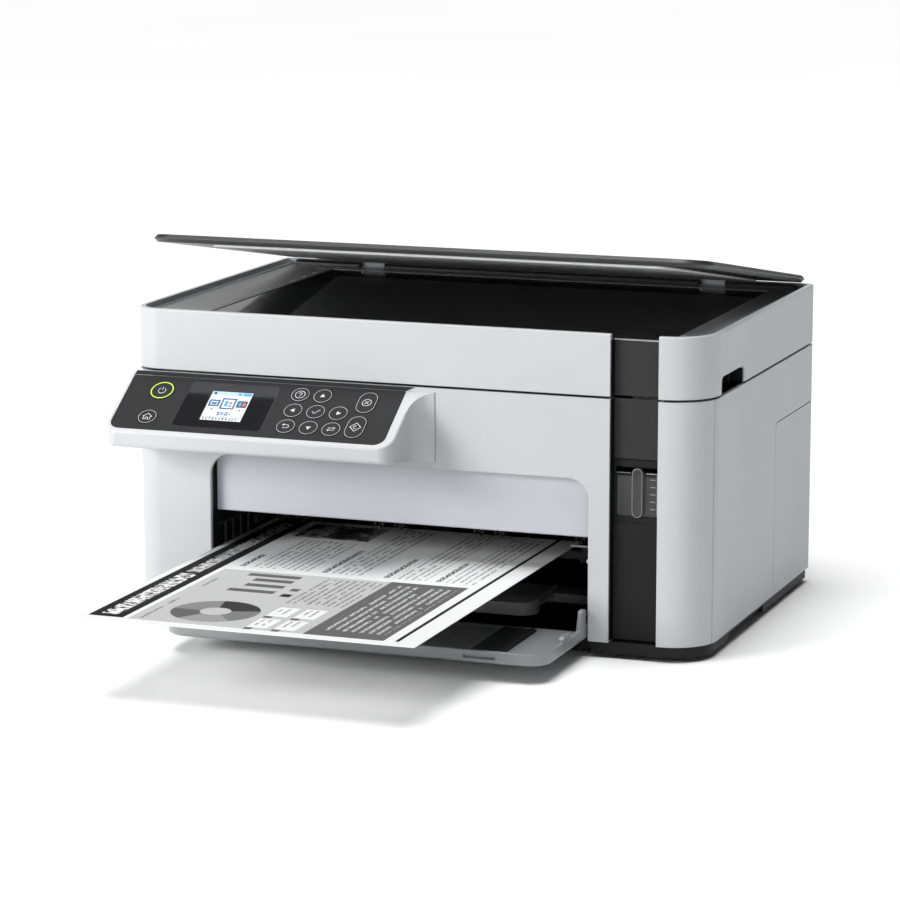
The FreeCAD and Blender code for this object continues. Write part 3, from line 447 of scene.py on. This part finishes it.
def rounded(x0, x1, y0, y1, radius, steps=6):
    corners = [(x1 - radius, y0 + radius, -90), (x1 - radius, y1 - radius, 0),
               (x0 + radius, y1 - radius, 90), (x0 + radius, y0 + radius, 180)]
    return [p for x, y, start in corners for p in arc(x, y, radius, start, start + 90, steps)]


def star(cx, cy, outer, inner, points):
    turns = [math.pi * i / points for i in range(points * 2)]
    return [(cx + (inner if i % 2 else outer) * math.cos(t), cy + (inner if i % 2 else outer) * math.sin(t))
            for i, t in enumerate(turns)]


def tiled_slab(name, width, length, tiles, place, thickness, materials):
    """A thin slab cut along every tile's edges, so each tone is its own face in one plane.
    A tile is (across from, across to, along from, along to, material); later tiles cover earlier ones."""
    xs = sorted({0, width, *[v for tile in tiles for v in tile[0:2]]})
    ys = sorted({0, length, *[v for tile in tiles for v in tile[2:4]]})
    mesh = bmesh.new()
    uv = mesh.loops.layers.uv.new("sheet")
    layers = [[[mesh.verts.new(place(x, y, z)) for y in ys] for x in xs] for z in (0.0, thickness)]

    def add(corners, spots, material):
        face = mesh.faces.new(corners)
        face.material_index = material
        for loop, (x, y) in zip(face.loops, spots):
            loop[uv].uv = (x * MM, y * MM)

    for i in range(len(xs) - 1):
        for j in range(len(ys) - 1):
            middle = ((xs[i] + xs[i + 1]) / 2, (ys[j] + ys[j + 1]) / 2)
            tone = 0
            for x0, x1, y0, y1, material in tiles:
                if x0 < middle[0] < x1 and y0 < middle[1] < y1:
                    tone = material
            around = [(i, j), (i + 1, j), (i + 1, j + 1), (i, j + 1)]
            spots = [(xs[a], ys[b]) for a, b in around]
            add([layers[1][a][b] for a, b in around], spots, tone)
            add([layers[0][a][b] for a, b in around[::-1]], spots[::-1], 0)
    last_x, last_y = len(xs) - 1, len(ys) - 1
    rim = [(i, 0) for i in range(last_x)] + [(last_x, j) for j in range(last_y)]
    rim += [(i, last_y) for i in range(last_x, 0, -1)] + [(0, j) for j in range(last_y, 0, -1)]
    for (a, b), (c, d) in zip(rim, rim[1:] + rim[:1]):
        add([layers[0][a][b], layers[0][c][d], layers[1][c][d], layers[1][a][b]],
            [(xs[a], ys[b]), (xs[c], ys[d]), (xs[c], ys[d]), (xs[a], ys[b])], 0)
    data = bpy.data.meshes.new(name)
    mesh.to_mesh(data)
    mesh.free()
    for material in materials:
        data.materials.append(material)
    made = bpy.data.objects.new(name, data)
    bpy.context.collection.objects.link(made)
    return made


def make_page():
    """The sheet on the exit roller, with a generic report printed across it."""
    low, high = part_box("printed_sheet")
    chart = (70.5, 42.3)
    chart_m = (chart[0] * MM, chart[1] * MM)
    WHITE, LIGHT, DARK, BLACK, BIG, THIN, TEXT, TEXT_LIGHT, TEXT_DARK, CHART, PICTURE = range(11)
    materials = [
        SLOT_MATERIALS["paper"],
        printed("print_light", PRINT_LIGHT),
        printed("print_dark", PRINT_DARK),
        printed("print_black", PRINT_BLACK),
        lettering("band_heavy", PRINT_BLACK, PAPER_WHITE, 0.0135, 0.80, 0.0050, 0.22, 0.0086),
        lettering("band_thin", PRINT_BLACK, (0.55, 0.55, 0.55), 0.0135, 0.66, 0.0030, 0.24, 0.0086),
        lettering("text_on_white", PAPER_WHITE, (0.20, 0.20, 0.20), 0.0043, 0.42, 0.0016),
        lettering("text_on_light", PRINT_LIGHT, (0.12, 0.12, 0.12), 0.0043, 0.42, 0.0016),
        lettering("text_on_dark", PRINT_DARK, (0.5, 0.5, 0.5), 0.0052, 0.42, 0.0018),
        ring_chart("ring_chart", chart_m, 0.0263, 0.0092, PRINT_LIGHT),
        picture("picture"),
    ]
    heads = {}
    for across in (34.5, 88.5, 129, 162.5):
        heads[across] = len(materials)
        name = "heading_" + str(len(heads))
        materials.append(lettering(name, PAPER_WHITE, (0.02,) * 3, 0.0046, 0.8, 0.0022, 0.2, across * MM))
    tiles = [
        (4.5, 26.5, 9.5, 297, BLACK),
        (8.6, 22.1, 16, 128, BIG),
        (8.6, 22.1, 133, 284, THIN),
        (30.0, 139, 8.5, 148, LIGHT),
        (34.0, 39.5, 12, 66, TEXT_LIGHT),
        (35.0, 39.5, 100, 124, TEXT_LIGHT),
        (98.0, 136.0, 76, 143, TEXT_LIGHT),
        (chart[0] - 27, chart[0] + 27, chart[1] - 27, chart[1] + 27, CHART),
        (139, 188, 8.5, 149, DARK),
        (144, 184, 22, 140, TEXT_DARK),
        (194.4, 196.9, 9.5, 297, BLACK),
        (32.5, 83.5, 250, 289, PICTURE),
        (90.0, 96.5, 90, 97, BLACK),
        (90.0, 95.5, 105, 112, DARK),
    ]
    for reach, along in ((50, 139), (58.5, 127), (59, 113), (54, 98)):
        tiles.append((reach, 84, along - 3.6, along + 3.6, DARK))
    for across in (102, 119):
        for along in (13, 42):
            tiles.append((across, across + 13, along, along + 23, WHITE))
            tiles.append((across + 2, across + 11, along + 6, along + 21, TEXT))
            tiles.append((across, across + 5, along - 5, along, DARK))
    for across, reach, last in ((34.5, 193, 243), (88.5, 224, 288), (129, 213, 288), (162.5, 213, 288)):
        tiles.append((across, across + 4.6, 158, reach, heads[across]))
        tiles.append((across + 7, across + 28, 158, last, TEXT))
    tiles.append((62.5, 83.0, 158, 243, TEXT))

    def place(x, y, z):
        return low + Vector((x, y, z)) * MM

    size = (high - low) / MM
    page = tiled_slab("page", round(size.x, 3), round(size.y, 3), tiles, place, size.z, materials)
    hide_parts("printed_sheet")
    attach(page, "chassis")
    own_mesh(page)


make_page()


# ---------------------------------------------------------------- the control panel
PANEL_TILT = math.radians(33)
PANEL_TOP = Vector((0.0, -125.0, 157.0))
ROUND_KEY = 12.2
KEYS = {
    "power": (-161.5, 13.4, 15.5, 15.5),
    "home": (-162.6, 37.6, ROUND_KEY, ROUND_KEY),
    "help": (-69.9, 9.4, ROUND_KEY, ROUND_KEY),
    "up": (-55.0, 9.4, ROUND_KEY, ROUND_KEY),
    "left": (-69.9, 23.7, ROUND_KEY, ROUND_KEY),
    "ok": (-55.0, 23.7, ROUND_KEY, ROUND_KEY),
    "right": (-40.1, 23.7, ROUND_KEY, ROUND_KEY),
    "back": (-69.9, 38.0, ROUND_KEY, ROUND_KEY),
    "down": (-55.0, 38.0, ROUND_KEY, ROUND_KEY),
    "info": (-40.1, 38.0, ROUND_KEY, ROUND_KEY),
    "stop": (-24.9, 12.8, 12.4, 18.7),
    "start": (-25.2, 34.8, 12.4, 19.4),
}
KEY_FACE = 0.15
MARK_T = 0.04
ICON_SCALE = 1.2
SCREEN_DEPTH = 0.39
SCREEN_T = 0.08


def panel_place(x0, s0):
    """Places (right, up the slope, out of the panel) from a spot on the panel."""
    def place(x, up, out):
        s = s0 - up
        y = -s * math.cos(PANEL_TILT) - out * math.sin(PANEL_TILT)
        z = -s * math.sin(PANEL_TILT) + out * math.cos(PANEL_TILT)
        return (PANEL_TOP + Vector((x0 + x, y, z))) * MM
    return place


def triangle(radius, turn):
    return [(radius * math.cos(math.radians(turn + a)), radius * math.sin(math.radians(turn + a)))
            for a in (0, 120, 240)]


def arrow_head(tip, size, turn):
    """Two short strokes that meet at tip, opening away from the turn angle."""
    ends = []
    for lean in (38, -38):
        angle = math.radians(turn + lean)
        ends.append((tip[0] - size * math.cos(angle), tip[1] - size * math.sin(angle)))
    return [ends[0], tip, ends[1]]


HOUSE_ROOF = [(-2.7, -0.1), (0, 2.3), (2.7, -0.1)]
HOUSE_WALLS = [
    (-1.8, 0.3), (-1.8, -2.0), (-0.5, -2.0), (-0.5, -0.6),
    (0.6, -0.6), (0.6, -2.0), (1.8, -2.0), (1.8, 0.3),
]
# strokes of each key's symbol: points, and whether they close
ICON_LINES = {
    "power": [(arc(0, -0.2, 2.0, 125, 415), False), ([(0, 0.3), (0, 2.5)], False)],
    "home": [(HOUSE_ROOF, False), (HOUSE_WALLS, False)],
    "help": [(circle(0, 0, 2.6), True), (arc(0, 0.55, 0.85, 180, -60, 10) + [(0, -0.75)], False),
             ([(0, -1.25), (0, -1.6)], False)],
    "ok": [([(-2.0, 0.2), (-0.6, -1.3), (2.2, 1.6)], False)],
    "back": [([(-1.7, 1.0), (0.6, 1.0)] + arc(0.6, -0.1, 1.1, 90, -90, 8) + [(-1.4, -1.2)], False),
             (arrow_head((-1.9, 1.0), 1.2, 180), False)],
    "info": [([(-1.9, 0.8), (1.9, 0.8)], False), (arrow_head((2.0, 0.8), 1.2, 0), False),
             ([(-1.9, -0.8), (1.9, -0.8)], False), (arrow_head((-2.0, -0.8), 1.2, 180), False)],
    "stop": [(circle(0, 0, 2.4), True), ([(-1.1, -1.1), (1.1, 1.1)], False),
             ([(-1.1, 1.1), (1.1, -1.1)], False)],
    "start": [([(0, -3.0), (3.0, 0), (0, 3.0), (-3.0, 0)], True), (arc(0, 0, 1.0, 60, 300, 8), False),
              ([(0, 0.3), (0, 1.2)], False)],
}
ICON_TRIANGLES = {"up": 90, "left": 180, "right": 0, "down": 270}


def make_key_marks():
    """The printed outline and symbol on each key."""
    for name, (x, s, width, height) in KEYS.items():
        marks = Build(panel_place(x, s))
        low = KEY_FACE - 0.01
        high = KEY_FACE + MARK_T
        if name == "power":
            marks.line(pill(width - 1.3, height - 1.3), 0.75, low, high + 0.06, True, 1)
        else:
            marks.line(pill(width - 0.85, height - 0.85), 0.26, low, high, True)
        for points, closed in ICON_LINES.get(name, []):
            marks.line([(px * ICON_SCALE, py * ICON_SCALE) for px, py in points], 0.45, low, high, closed)
        if name in ICON_TRIANGLES:
            marks.solid(triangle(1.9, ICON_TRIANGLES[name]), low, high)
        marks.finish("marks_" + name, "key_" + name, [MARK_GREY, RING_GLOW])


def make_screen():
    """What the colour screen shows: a bar, three tiles and a label, with no words."""
    x0, x1, s0, s1 = -127.8, -100.7, 10.7, 36.8
    WHITE, PALE, CYAN, BLUE, NAVY, WARM, LABEL, SMALL = range(8)
    materials = [
        lit("screen_white", (0.80, 0.87, 0.93), 0.35),
        lit("screen_pale", (0.50, 0.68, 0.88), 0.3),
        lit("screen_cyan", (0.06, 0.36, 0.66), 0.35),
        lit("screen_blue", (0.015, 0.07, 0.26), 0.3),
        lit("screen_navy", (0.008, 0.02, 0.10), 0.3),
        lit("screen_warm", (0.60, 0.16, 0.03), 0.35),
        lettering("screen_label", (0.78, 0.85, 0.92), (0.02, 0.05, 0.16), 0.0032, 0.9, 0.0020, 0.05, 0.0045),
        lettering("screen_small", (0.78, 0.85, 0.92), (0.03, 0.03, 0.04), 0.0022, 0.7, 0.0013, 0.3, 0.0005),
    ]
    tiles = [
        (0, 27.1, 22.6, 26.1, PALE), (17.5, 20, 23.4, 25.4, CYAN), (21.2, 26.3, 23.2, 25.6, CYAN),
        (1.4, 3.2, 23.4, 25.4, NAVY),
        (0.8, 8.0, 12.6, 18.6, BLUE), (2.0, 6.8, 13.8, 17.4, PALE), (2.8, 6.0, 14.6, 16.2, BLUE),
        (8.9, 18.6, 10.6, 20.4, BLUE), (10.1, 17.4, 11.8, 19.2, WHITE), (11.4, 13.6, 13.0, 18.2, CYAN),
        (14.4, 16.2, 15.0, 17.2, WARM), (14.4, 16.2, 13.0, 14.2, BLUE),
        (19.5, 26.4, 12.6, 18.6, NAVY), (20.6, 22.6, 13.8, 17.4, CYAN), (23.4, 25.4, 13.8, 17.4, WARM),
        (3.8, 5.0, 9.6, 10.8, NAVY), (22.2, 23.4, 9.6, 10.8, NAVY),
        (9.0, 18.4, 4.6, 8.0, LABEL), (1.0, 26.0, 0.5, 2.7, SMALL), (0, 27.1, 3.0, 3.3, NAVY),
    ]
    place = panel_place(x0, s1)

    def lay(x, y, z):
        return place(x, y, z - SCREEN_DEPTH)

    screen = tiled_slab("screen_picture", x1 - x0, s1 - s0, tiles, lay, SCREEN_T, materials)
    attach(screen, "chassis")


def make_panel_cap():
    """Dark strip that carries the control plate's black up to the gap under the scanner."""
    strip = Build(lambda x, z, y: flat(x, y, z))
    outline = [(-185.2, 157.0), (-3.2, 157.0), (2.4, 159.5), (-183.5, 159.5)]
    strip.solid(outline, -125.3, -124.9)
    strip.finish("panel_cap", "chassis", [SLOT_MATERIALS["panel_black"]])


make_key_marks()
make_screen()
make_panel_cap()


# ---------------------------------------------------------------- inside the paper mouth
MOUTH_LEFT = -134.3
MOUTH_RIGHT = 113.7
# where pieces fixed to the mouth's right wall start, just inside that wall
RIGHT_ROOT = 113.9
FLAP_FLOOR = 13.5


def make_star_wheels():
    """Toothed wheels that hold the sheet to the exit roller, under a bar that carries their springs."""
    sheet_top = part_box("printed_sheet")[1].z / MM
    radius = 4.2
    y = -38.0
    z = sheet_top + radius + 0.1
    wheels = Build(lambda a, b, c: flat(c, a, b))
    holders = Build(lambda a, b, c: flat(c, a, b))
    places = [x + side for x in (-115, -47, 21, 89) for side in (-7, 7)]
    for x in places:
        wheels.solid(star(y, z, radius, radius - 0.9, 18), x - 0.4, x + 0.4)
        wheels.solid(circle(y, z, 1.8, 20), x - 1.6, x + 1.6)
        shape = [
            (y - 4.6, z - 1.0), (y + 5.6, z - 1.0), (y + 6.6, z + 7), (y + 2, z + 9.5), (y - 3.4, z + 5.2),
        ]
        for side in (-3.4, 2.0):
            holders.solid(shape, x + side, x + side + 1.4)
        holders.block(y + 2.4, y + 6.0, z + 1.0, z + 9.0, x - 3.4, x + 3.4)
    holders.block(-34.8, -31.4, z + 2.5, z + 10.5, -131.0, 110.5)
    holders.block(-40.0, -31.4, z + 9.0, z + 10.5, -131.0, 110.5)
    for x in range(-124, 110, 8):
        holders.block(-37.4, -34.6, z + 3.4, z + 9.2, x - 0.5, x + 0.5)
    wheels.finish("star_wheels", "chassis", [WHEEL_METAL])
    holders.finish("star_wheel_bar", "chassis", [RIB_DARK], 0.2)


def make_pinch_rollers():
    """Small sprung rollers over the feed roller, each pair on its own arm."""
    sheet_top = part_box("printed_sheet")[1].z / MM
    radius = 2.6
    y, z = 18.0, sheet_top + radius + 0.05
    rollers = Build(lambda a, b, c: flat(c, a, b))
    arms = Build(lambda a, b, c: flat(c, a, b))
    for x in range(-112, 105, 42):
        for side in (-9, 9):
            rollers.solid(circle(y, z, radius, 28), x + side - 6, x + side + 6)
        rollers.solid(circle(y, z, 1.0, 16), x - 16, x + 16)
        shape = [
            (y - 1.6, z + 1.2), (y + 1.6, z - 1.6), (y + 15, z + 1.5), (y + 15, z + 4.2), (y + 3, z + 3.6),
        ]
        for edge in (-17.2, 16.0):
            arms.solid(shape, x + edge, x + edge + 1.2)
        arms.block(y + 5, y + 15, z + 1.8, z + 3.6, x - 17, x + 17)
    rollers.finish("pinch_rollers", "chassis", [SLOT_MATERIALS["supply_grey"]], 0.15)
    arms.finish("pinch_arms", "chassis", [SLOT_MATERIALS["deck_plastic"]], 0.15)


def make_mouth_ribs():
    """Ribs and ledges moulded on the mouth's two side walls, and a small bracket on the right one."""
    ribs = Build()
    for wall, inward in ((MOUTH_LEFT, 1), (MOUTH_RIGHT, -1)):
        x0, x1 = sorted((wall - inward * 0.3, wall + inward * 1.2))
        for y in (-104, -92, -80, -68):
            ribs.block(x0, x1, y - 0.8, y + 0.8, 31, 62)
        ribs.block(x0, x1, -112, -60, 62, 63.4)
        ribs.block(x0, x1, -112, -60, 30, 31.4)
        x0, x1 = sorted((wall - inward * 0.3, wall + inward * 2.4))
        ribs.block(x0, x1, -58, -46, 52.0, 57.0)
        ribs.block(x0, x1, -88, -84, 38, 48)
    ribs.finish("mouth_ribs", "chassis", [RIB_DARK], 0.25)
    bracket = Build()
    bracket.block(99, RIGHT_ROOT, -113, -110, 65.0, 66.0)
    bracket.block(110.5, RIGHT_ROOT, -112.5, -107, 63.2, 65.1)
    bracket.finish("mouth_bracket", "chassis", [TRAY_GREY], 0.15)


def make_latch_boss():
    """The small white stud on the mouth's right wall, just behind the shut flap's hook."""
    profile = [(0.0, 1.7), (3.4, 1.7), (4.3, 1.4), (4.9, 0.8)]
    length = 5.1
    y, z = -112.0, 56.4
    steps = 28
    boss = Build()
    mesh = boss.mesh
    rings = []
    for out, radius in profile:
        ring = [flat(RIGHT_ROOT - out, py, pz) for py, pz in circle(y, z, radius, steps)]
        rings.append([mesh.verts.new(point) for point in ring])
    tip = mesh.verts.new(flat(RIGHT_ROOT - length, y, z))
    for low, high in zip(rings, rings[1:]):
        for i in range(steps):
            mesh.faces.new((low[i], low[(i + 1) % steps], high[(i + 1) % steps], high[i]))
    for i in range(steps):
        mesh.faces.new((rings[-1][i], rings[-1][(i + 1) % steps], tip))
    mesh.faces.new(rings[0][::-1])
    made = boss.finish("latch_boss", "chassis", [SLOT_MATERIALS["white_plastic"]])
    for face in made.data.polygons:
        face.use_smooth = len(face.vertices) < 5


def make_flap_liner():
    """The dark panel on the flap's floor, with fine marks and a loading symbol on it."""
    liner = Build()
    liner.solid(rounded(-129.0, 57.5, -197.5, -126.0, 3.0), FLAP_FLOOR - 0.05, FLAP_FLOOR + 0.05)
    liner.finish("flap_liner", "flap", [LINER_GREY])
    marks = Build()
    low, high = FLAP_FLOOR + 0.04, FLAP_FLOOR + 0.08
    marks.line(rounded(22, 52, -171, -137, 2.0), 0.5, low, high, True)
    marks.line([(29, -141), (29, -160), (45, -160), (45, -141)], 0.5, low, high)
    marks.line([(37, -166), (37, -147)], 0.8, low, high)
    marks.line(arrow_head((37, -145.5), 4.0, 90), 0.8, low, high)
    for x in (-60, -20):
        marks.line([(x, -190), (x, -130)], 0.4, low, high)
    marks.finish("flap_symbol", "flap", [MARK_FAINT])


make_star_wheels()
make_pinch_rollers()
make_mouth_ribs()
make_latch_boss()
make_flap_liner()


# ---------------------------------------------------------------- column, notches, scanner and back
COLUMN_SIDES = ((126.8, 127.35), (156.85, 157.4))
LINING_Y = (-123.6, -116.9)
BEZEL_TOP = 195.8


def make_column_trim():
    """Dark lining on the sides of the column's recess, with a pale line along its top."""
    lining = Build()
    for x0, x1 in COLUMN_SIDES:
        lining.block(x0, x1, *LINING_Y, 11.0, 159.6)
    lining.finish("column_lining", "chassis", [LOWER_COLUMN], 0.15)
    upper = Build()
    for x0, x1 in COLUMN_SIDES:
        upper.block(x0, x1, *LINING_Y, 161.4, 195.0)
    upper.finish("column_lining_upper", "scanner", [LOWER_COLUMN], 0.15)
    line = Build()
    line.block(127.4, 156.8, -119.1, -117.1, 194.85, 195.6)
    line.finish("column_cap_line", "scanner", [TRIM_GREY], 0.15)


def make_notch_linings():
    """Black lining inside the two finger notches under the scanner."""
    lining = Build()
    for side in (-1, 1):
        def span(a, b):
            return sorted((side * a, side * b))
        lining.block(*span(175.9, 176.5), -94.4, -45.0, 161.3, 171.6)
        lining.block(*span(176.0, 186.6), -94.4, -45.0, 171.1, 171.75)
        lining.block(*span(176.0, 186.6), -94.75, -94.1, 161.3, 171.6)
        lining.block(*span(176.0, 186.6), -45.3, -44.65, 161.3, 171.6)
        for y in (-86, -70, -54):
            lining.block(*span(176.3, 180.5), y - 0.7, y + 0.7, 161.6, 171.2)
    lining.finish("notch_linings", "scanner", [SLOT_MATERIALS["black_plastic"]], 0.12)


def make_hinge_shroud():
    """Low dark strip under the lid's hinge edge, between the knuckles."""
    strip = Build(lambda a, b, c: flat(c, a, b))
    shape = [(114.5, 195.6), (121.2, 195.6), (121.2, 197.6), (119.5, 199.0), (116.0, 199.0), (114.5, 197.6)]
    for x0, x1 in ((-176, -129), (-111, 111), (129, 176)):
        strip.solid(shape, x0, x1)
    strip.finish("hinge_shroud", "scanner", [SLOT_MATERIALS["lid_plastic"]], 0.3)


def make_tank_marks():
    """Level lines moulded on the tank's window face, and the thin rim of the sight window."""
    marks = Build()
    y0, y1 = -116.95, -116.7
    for z in (92.5, 97.0, 101.5, 106.0, 110.5):
        marks.block(150.2, 153.6, y0, y1, z - 0.25, z + 0.25)
    marks.block(147.6, 156.0, y0, y1, 113.8, 114.5)
    marks.block(128.0, 138.0, y0, y1, 113.8, 114.3)
    marks.block(154.4, 154.9, y0, y1, 88.5, 114.5)
    marks.finish("tank_marks", "chassis", [TRIM_GREY], 0.05)
    frame_line = Build(lambda x, z, y: flat(x, y, z))
    outline = [(143.0 + x, 102.55 + z) for x, z in pill(6.1, 29.6)]
    frame_line.line(outline, 0.35, -120.25, -120.05, True)
    frame_line.finish("window_edge_line", "chassis", [TRIM_GREY])


def make_bezel_marks_and_painted_highlight():
    """Size marks on the dark frame round the glass, and a fine raised pale line along its left and right
    sides that is a painted highlight of the rim.
    """
    marks_and_highlight = Build()
    # the pale line along each side is a painted highlight of the rim's edge
    for x in (-180.0, 179.6):
        marks_and_highlight.block(x, x + 0.5, -108, 112, BEZEL_TOP - 0.1, BEZEL_TOP + 0.35)
    for x in range(-140, 161, 20):
        marks_and_highlight.block(x - 0.25, x + 0.25, 103.5, 107.0, BEZEL_TOP - 0.1, BEZEL_TOP + 0.1)
    for y in range(-100, 101, 20):
        marks_and_highlight.block(-149.0, -145.5, y - 0.25, y + 0.25, BEZEL_TOP - 0.1, BEZEL_TOP + 0.1)
    arrow = [(-153.5, 97.0), (-147.0, 101.0), (-153.5, 105.0)]
    marks_and_highlight.solid(arrow, BEZEL_TOP - 0.1, BEZEL_TOP + 0.1)
    marks_and_highlight.finish("bezel_marks_and_painted_rim_highlight", "scanner", [MARK_GREY])


def make_back_details():
    """Louvres over the rear unit, grip ridges on it, and the metal mouth of the data socket."""
    slots = Build(lambda x, z, y: flat(x, y, z))
    for side in (-1, 1):
        for step in range(7):
            x = side * (28 + step * 10)
            slots.solid([(px + x, pz + 140) for px, pz in pill(3.0, 20.0, 8)], 124.9, 125.35)
    slots.finish("back_louvres", "chassis", [SLOT_MATERIALS["black_plastic"]])
    grips = Build(lambda x, z, y: flat(x, y, z))
    for step in range(5):
        z = 56 + step * 5
        grips.solid(rounded(-26, 26, z, z + 2.0, 0.9, 4), 177.7, 178.7)
    grips.finish("rear_cover_grips", "rear_cover", [SLOT_MATERIALS["black_plastic"]], 0.2)
    shell = Build(lambda x, z, y: flat(x, y, z))
    shell.line([(-171.4, 71.1), (-159.7, 71.1), (-159.7, 81.4), (-171.4, 81.4)], 1.7, 124.35, 124.9, True)
    shell.finish("data_socket_shell", "chassis", [SLOT_MATERIALS["steel"]], 0.1)


make_column_trim()
make_back_details()
make_notch_linings()
make_hinge_shroud()
make_tank_marks()
make_bezel_marks_and_painted_highlight()


# ---------------------------------------------------------------- camera, floor and light
CAMERA_PLACE = (0.77293, -2.15589, 0.53287)
CAMERA_AIM = (-0.02088, 0.0, 0.09686)
CAMERA_LENS = 144.66
SENSOR_WIDTH = 36.0
FLOOR_HALF = 60.0


def make_camera():
    camera = bpy.data.objects.new("camera", bpy.data.cameras.new("camera"))
    bpy.context.collection.objects.link(camera)
    camera.data.lens = CAMERA_LENS
    camera.data.sensor_width = SENSOR_WIDTH
    camera.location = CAMERA_PLACE
    aim = Vector(CAMERA_AIM) - camera.location
    camera.rotation_mode = "QUATERNION"
    camera.rotation_quaternion = aim.to_track_quat("-Z", "Y")
    bpy.context.scene.camera = camera


def make_floor():
    n = Nodes("floor")
    n.set("Base Color", n.ramp(n.noise(2.0), [(0.3, (0.98,) * 3), (0.7, (1.0,) * 3)]))
    n.set("Roughness", 0.9)
    mesh = bpy.data.meshes.new("floor")
    corners = [(x * FLOOR_HALF, y * FLOOR_HALF, 0) for x, y in ((-1, -1), (1, -1), (1, 1), (-1, 1))]
    mesh.from_pydata(corners, [], [(0, 1, 2, 3)])
    mesh.materials.append(n.material)
    floor = bpy.data.objects.new("floor", mesh)
    bpy.context.collection.objects.link(floor)


def turned(light, aim):
    light.rotation_mode = "QUATERNION"
    light.rotation_quaternion = Vector(aim).to_track_quat("-Z", "Y")


def sky_light(name, direction, strength, spread):
    """A far soft light, the same over the whole floor."""
    data = bpy.data.lights.new(name, "SUN")
    data.energy = strength
    data.angle = math.radians(spread)
    light = bpy.data.objects.new(name, data)
    bpy.context.collection.objects.link(light)
    turned(light, direction)


def soft_box(name, place, aim, width, height, power):
    data = bpy.data.lights.new(name, "AREA")
    data.shape = "RECTANGLE"
    data.size = width
    data.size_y = height
    data.energy = power
    light = bpy.data.objects.new(name, data)
    bpy.context.collection.objects.link(light)
    light.location = place
    turned(light, Vector(aim) - light.location)


def make_light():
    world = bpy.data.worlds.new("studio")
    bpy.context.scene.world = world
    world.use_nodes = True
    world.node_tree.nodes["Background"].inputs["Color"].default_value = (0.96, 0.98, 1.0, 1.0)
    world.node_tree.nodes["Background"].inputs["Strength"].default_value = 0.05
    sky_light("overhead", (0.04, 0.10, -1.0), 3.12, 40)
    soft_box("key", (-1.3, -1.55, 0.7), (0.0, -0.12, 0.09), 0.9, 0.7, 37.0)
    soft_box("fill", (1.25, -2.7, 0.32), (0.05, -0.1, 0.06), 0.7, 0.4, 7.0)
    soft_box("backdrop", (-1.3, 3.4, 1.05), (0.0, 0.0, 0.2), 3.4, 1.2, 9.0)


make_camera()
make_floor()
make_light()
bpy.context.scene.view_settings.view_transform = "Standard"
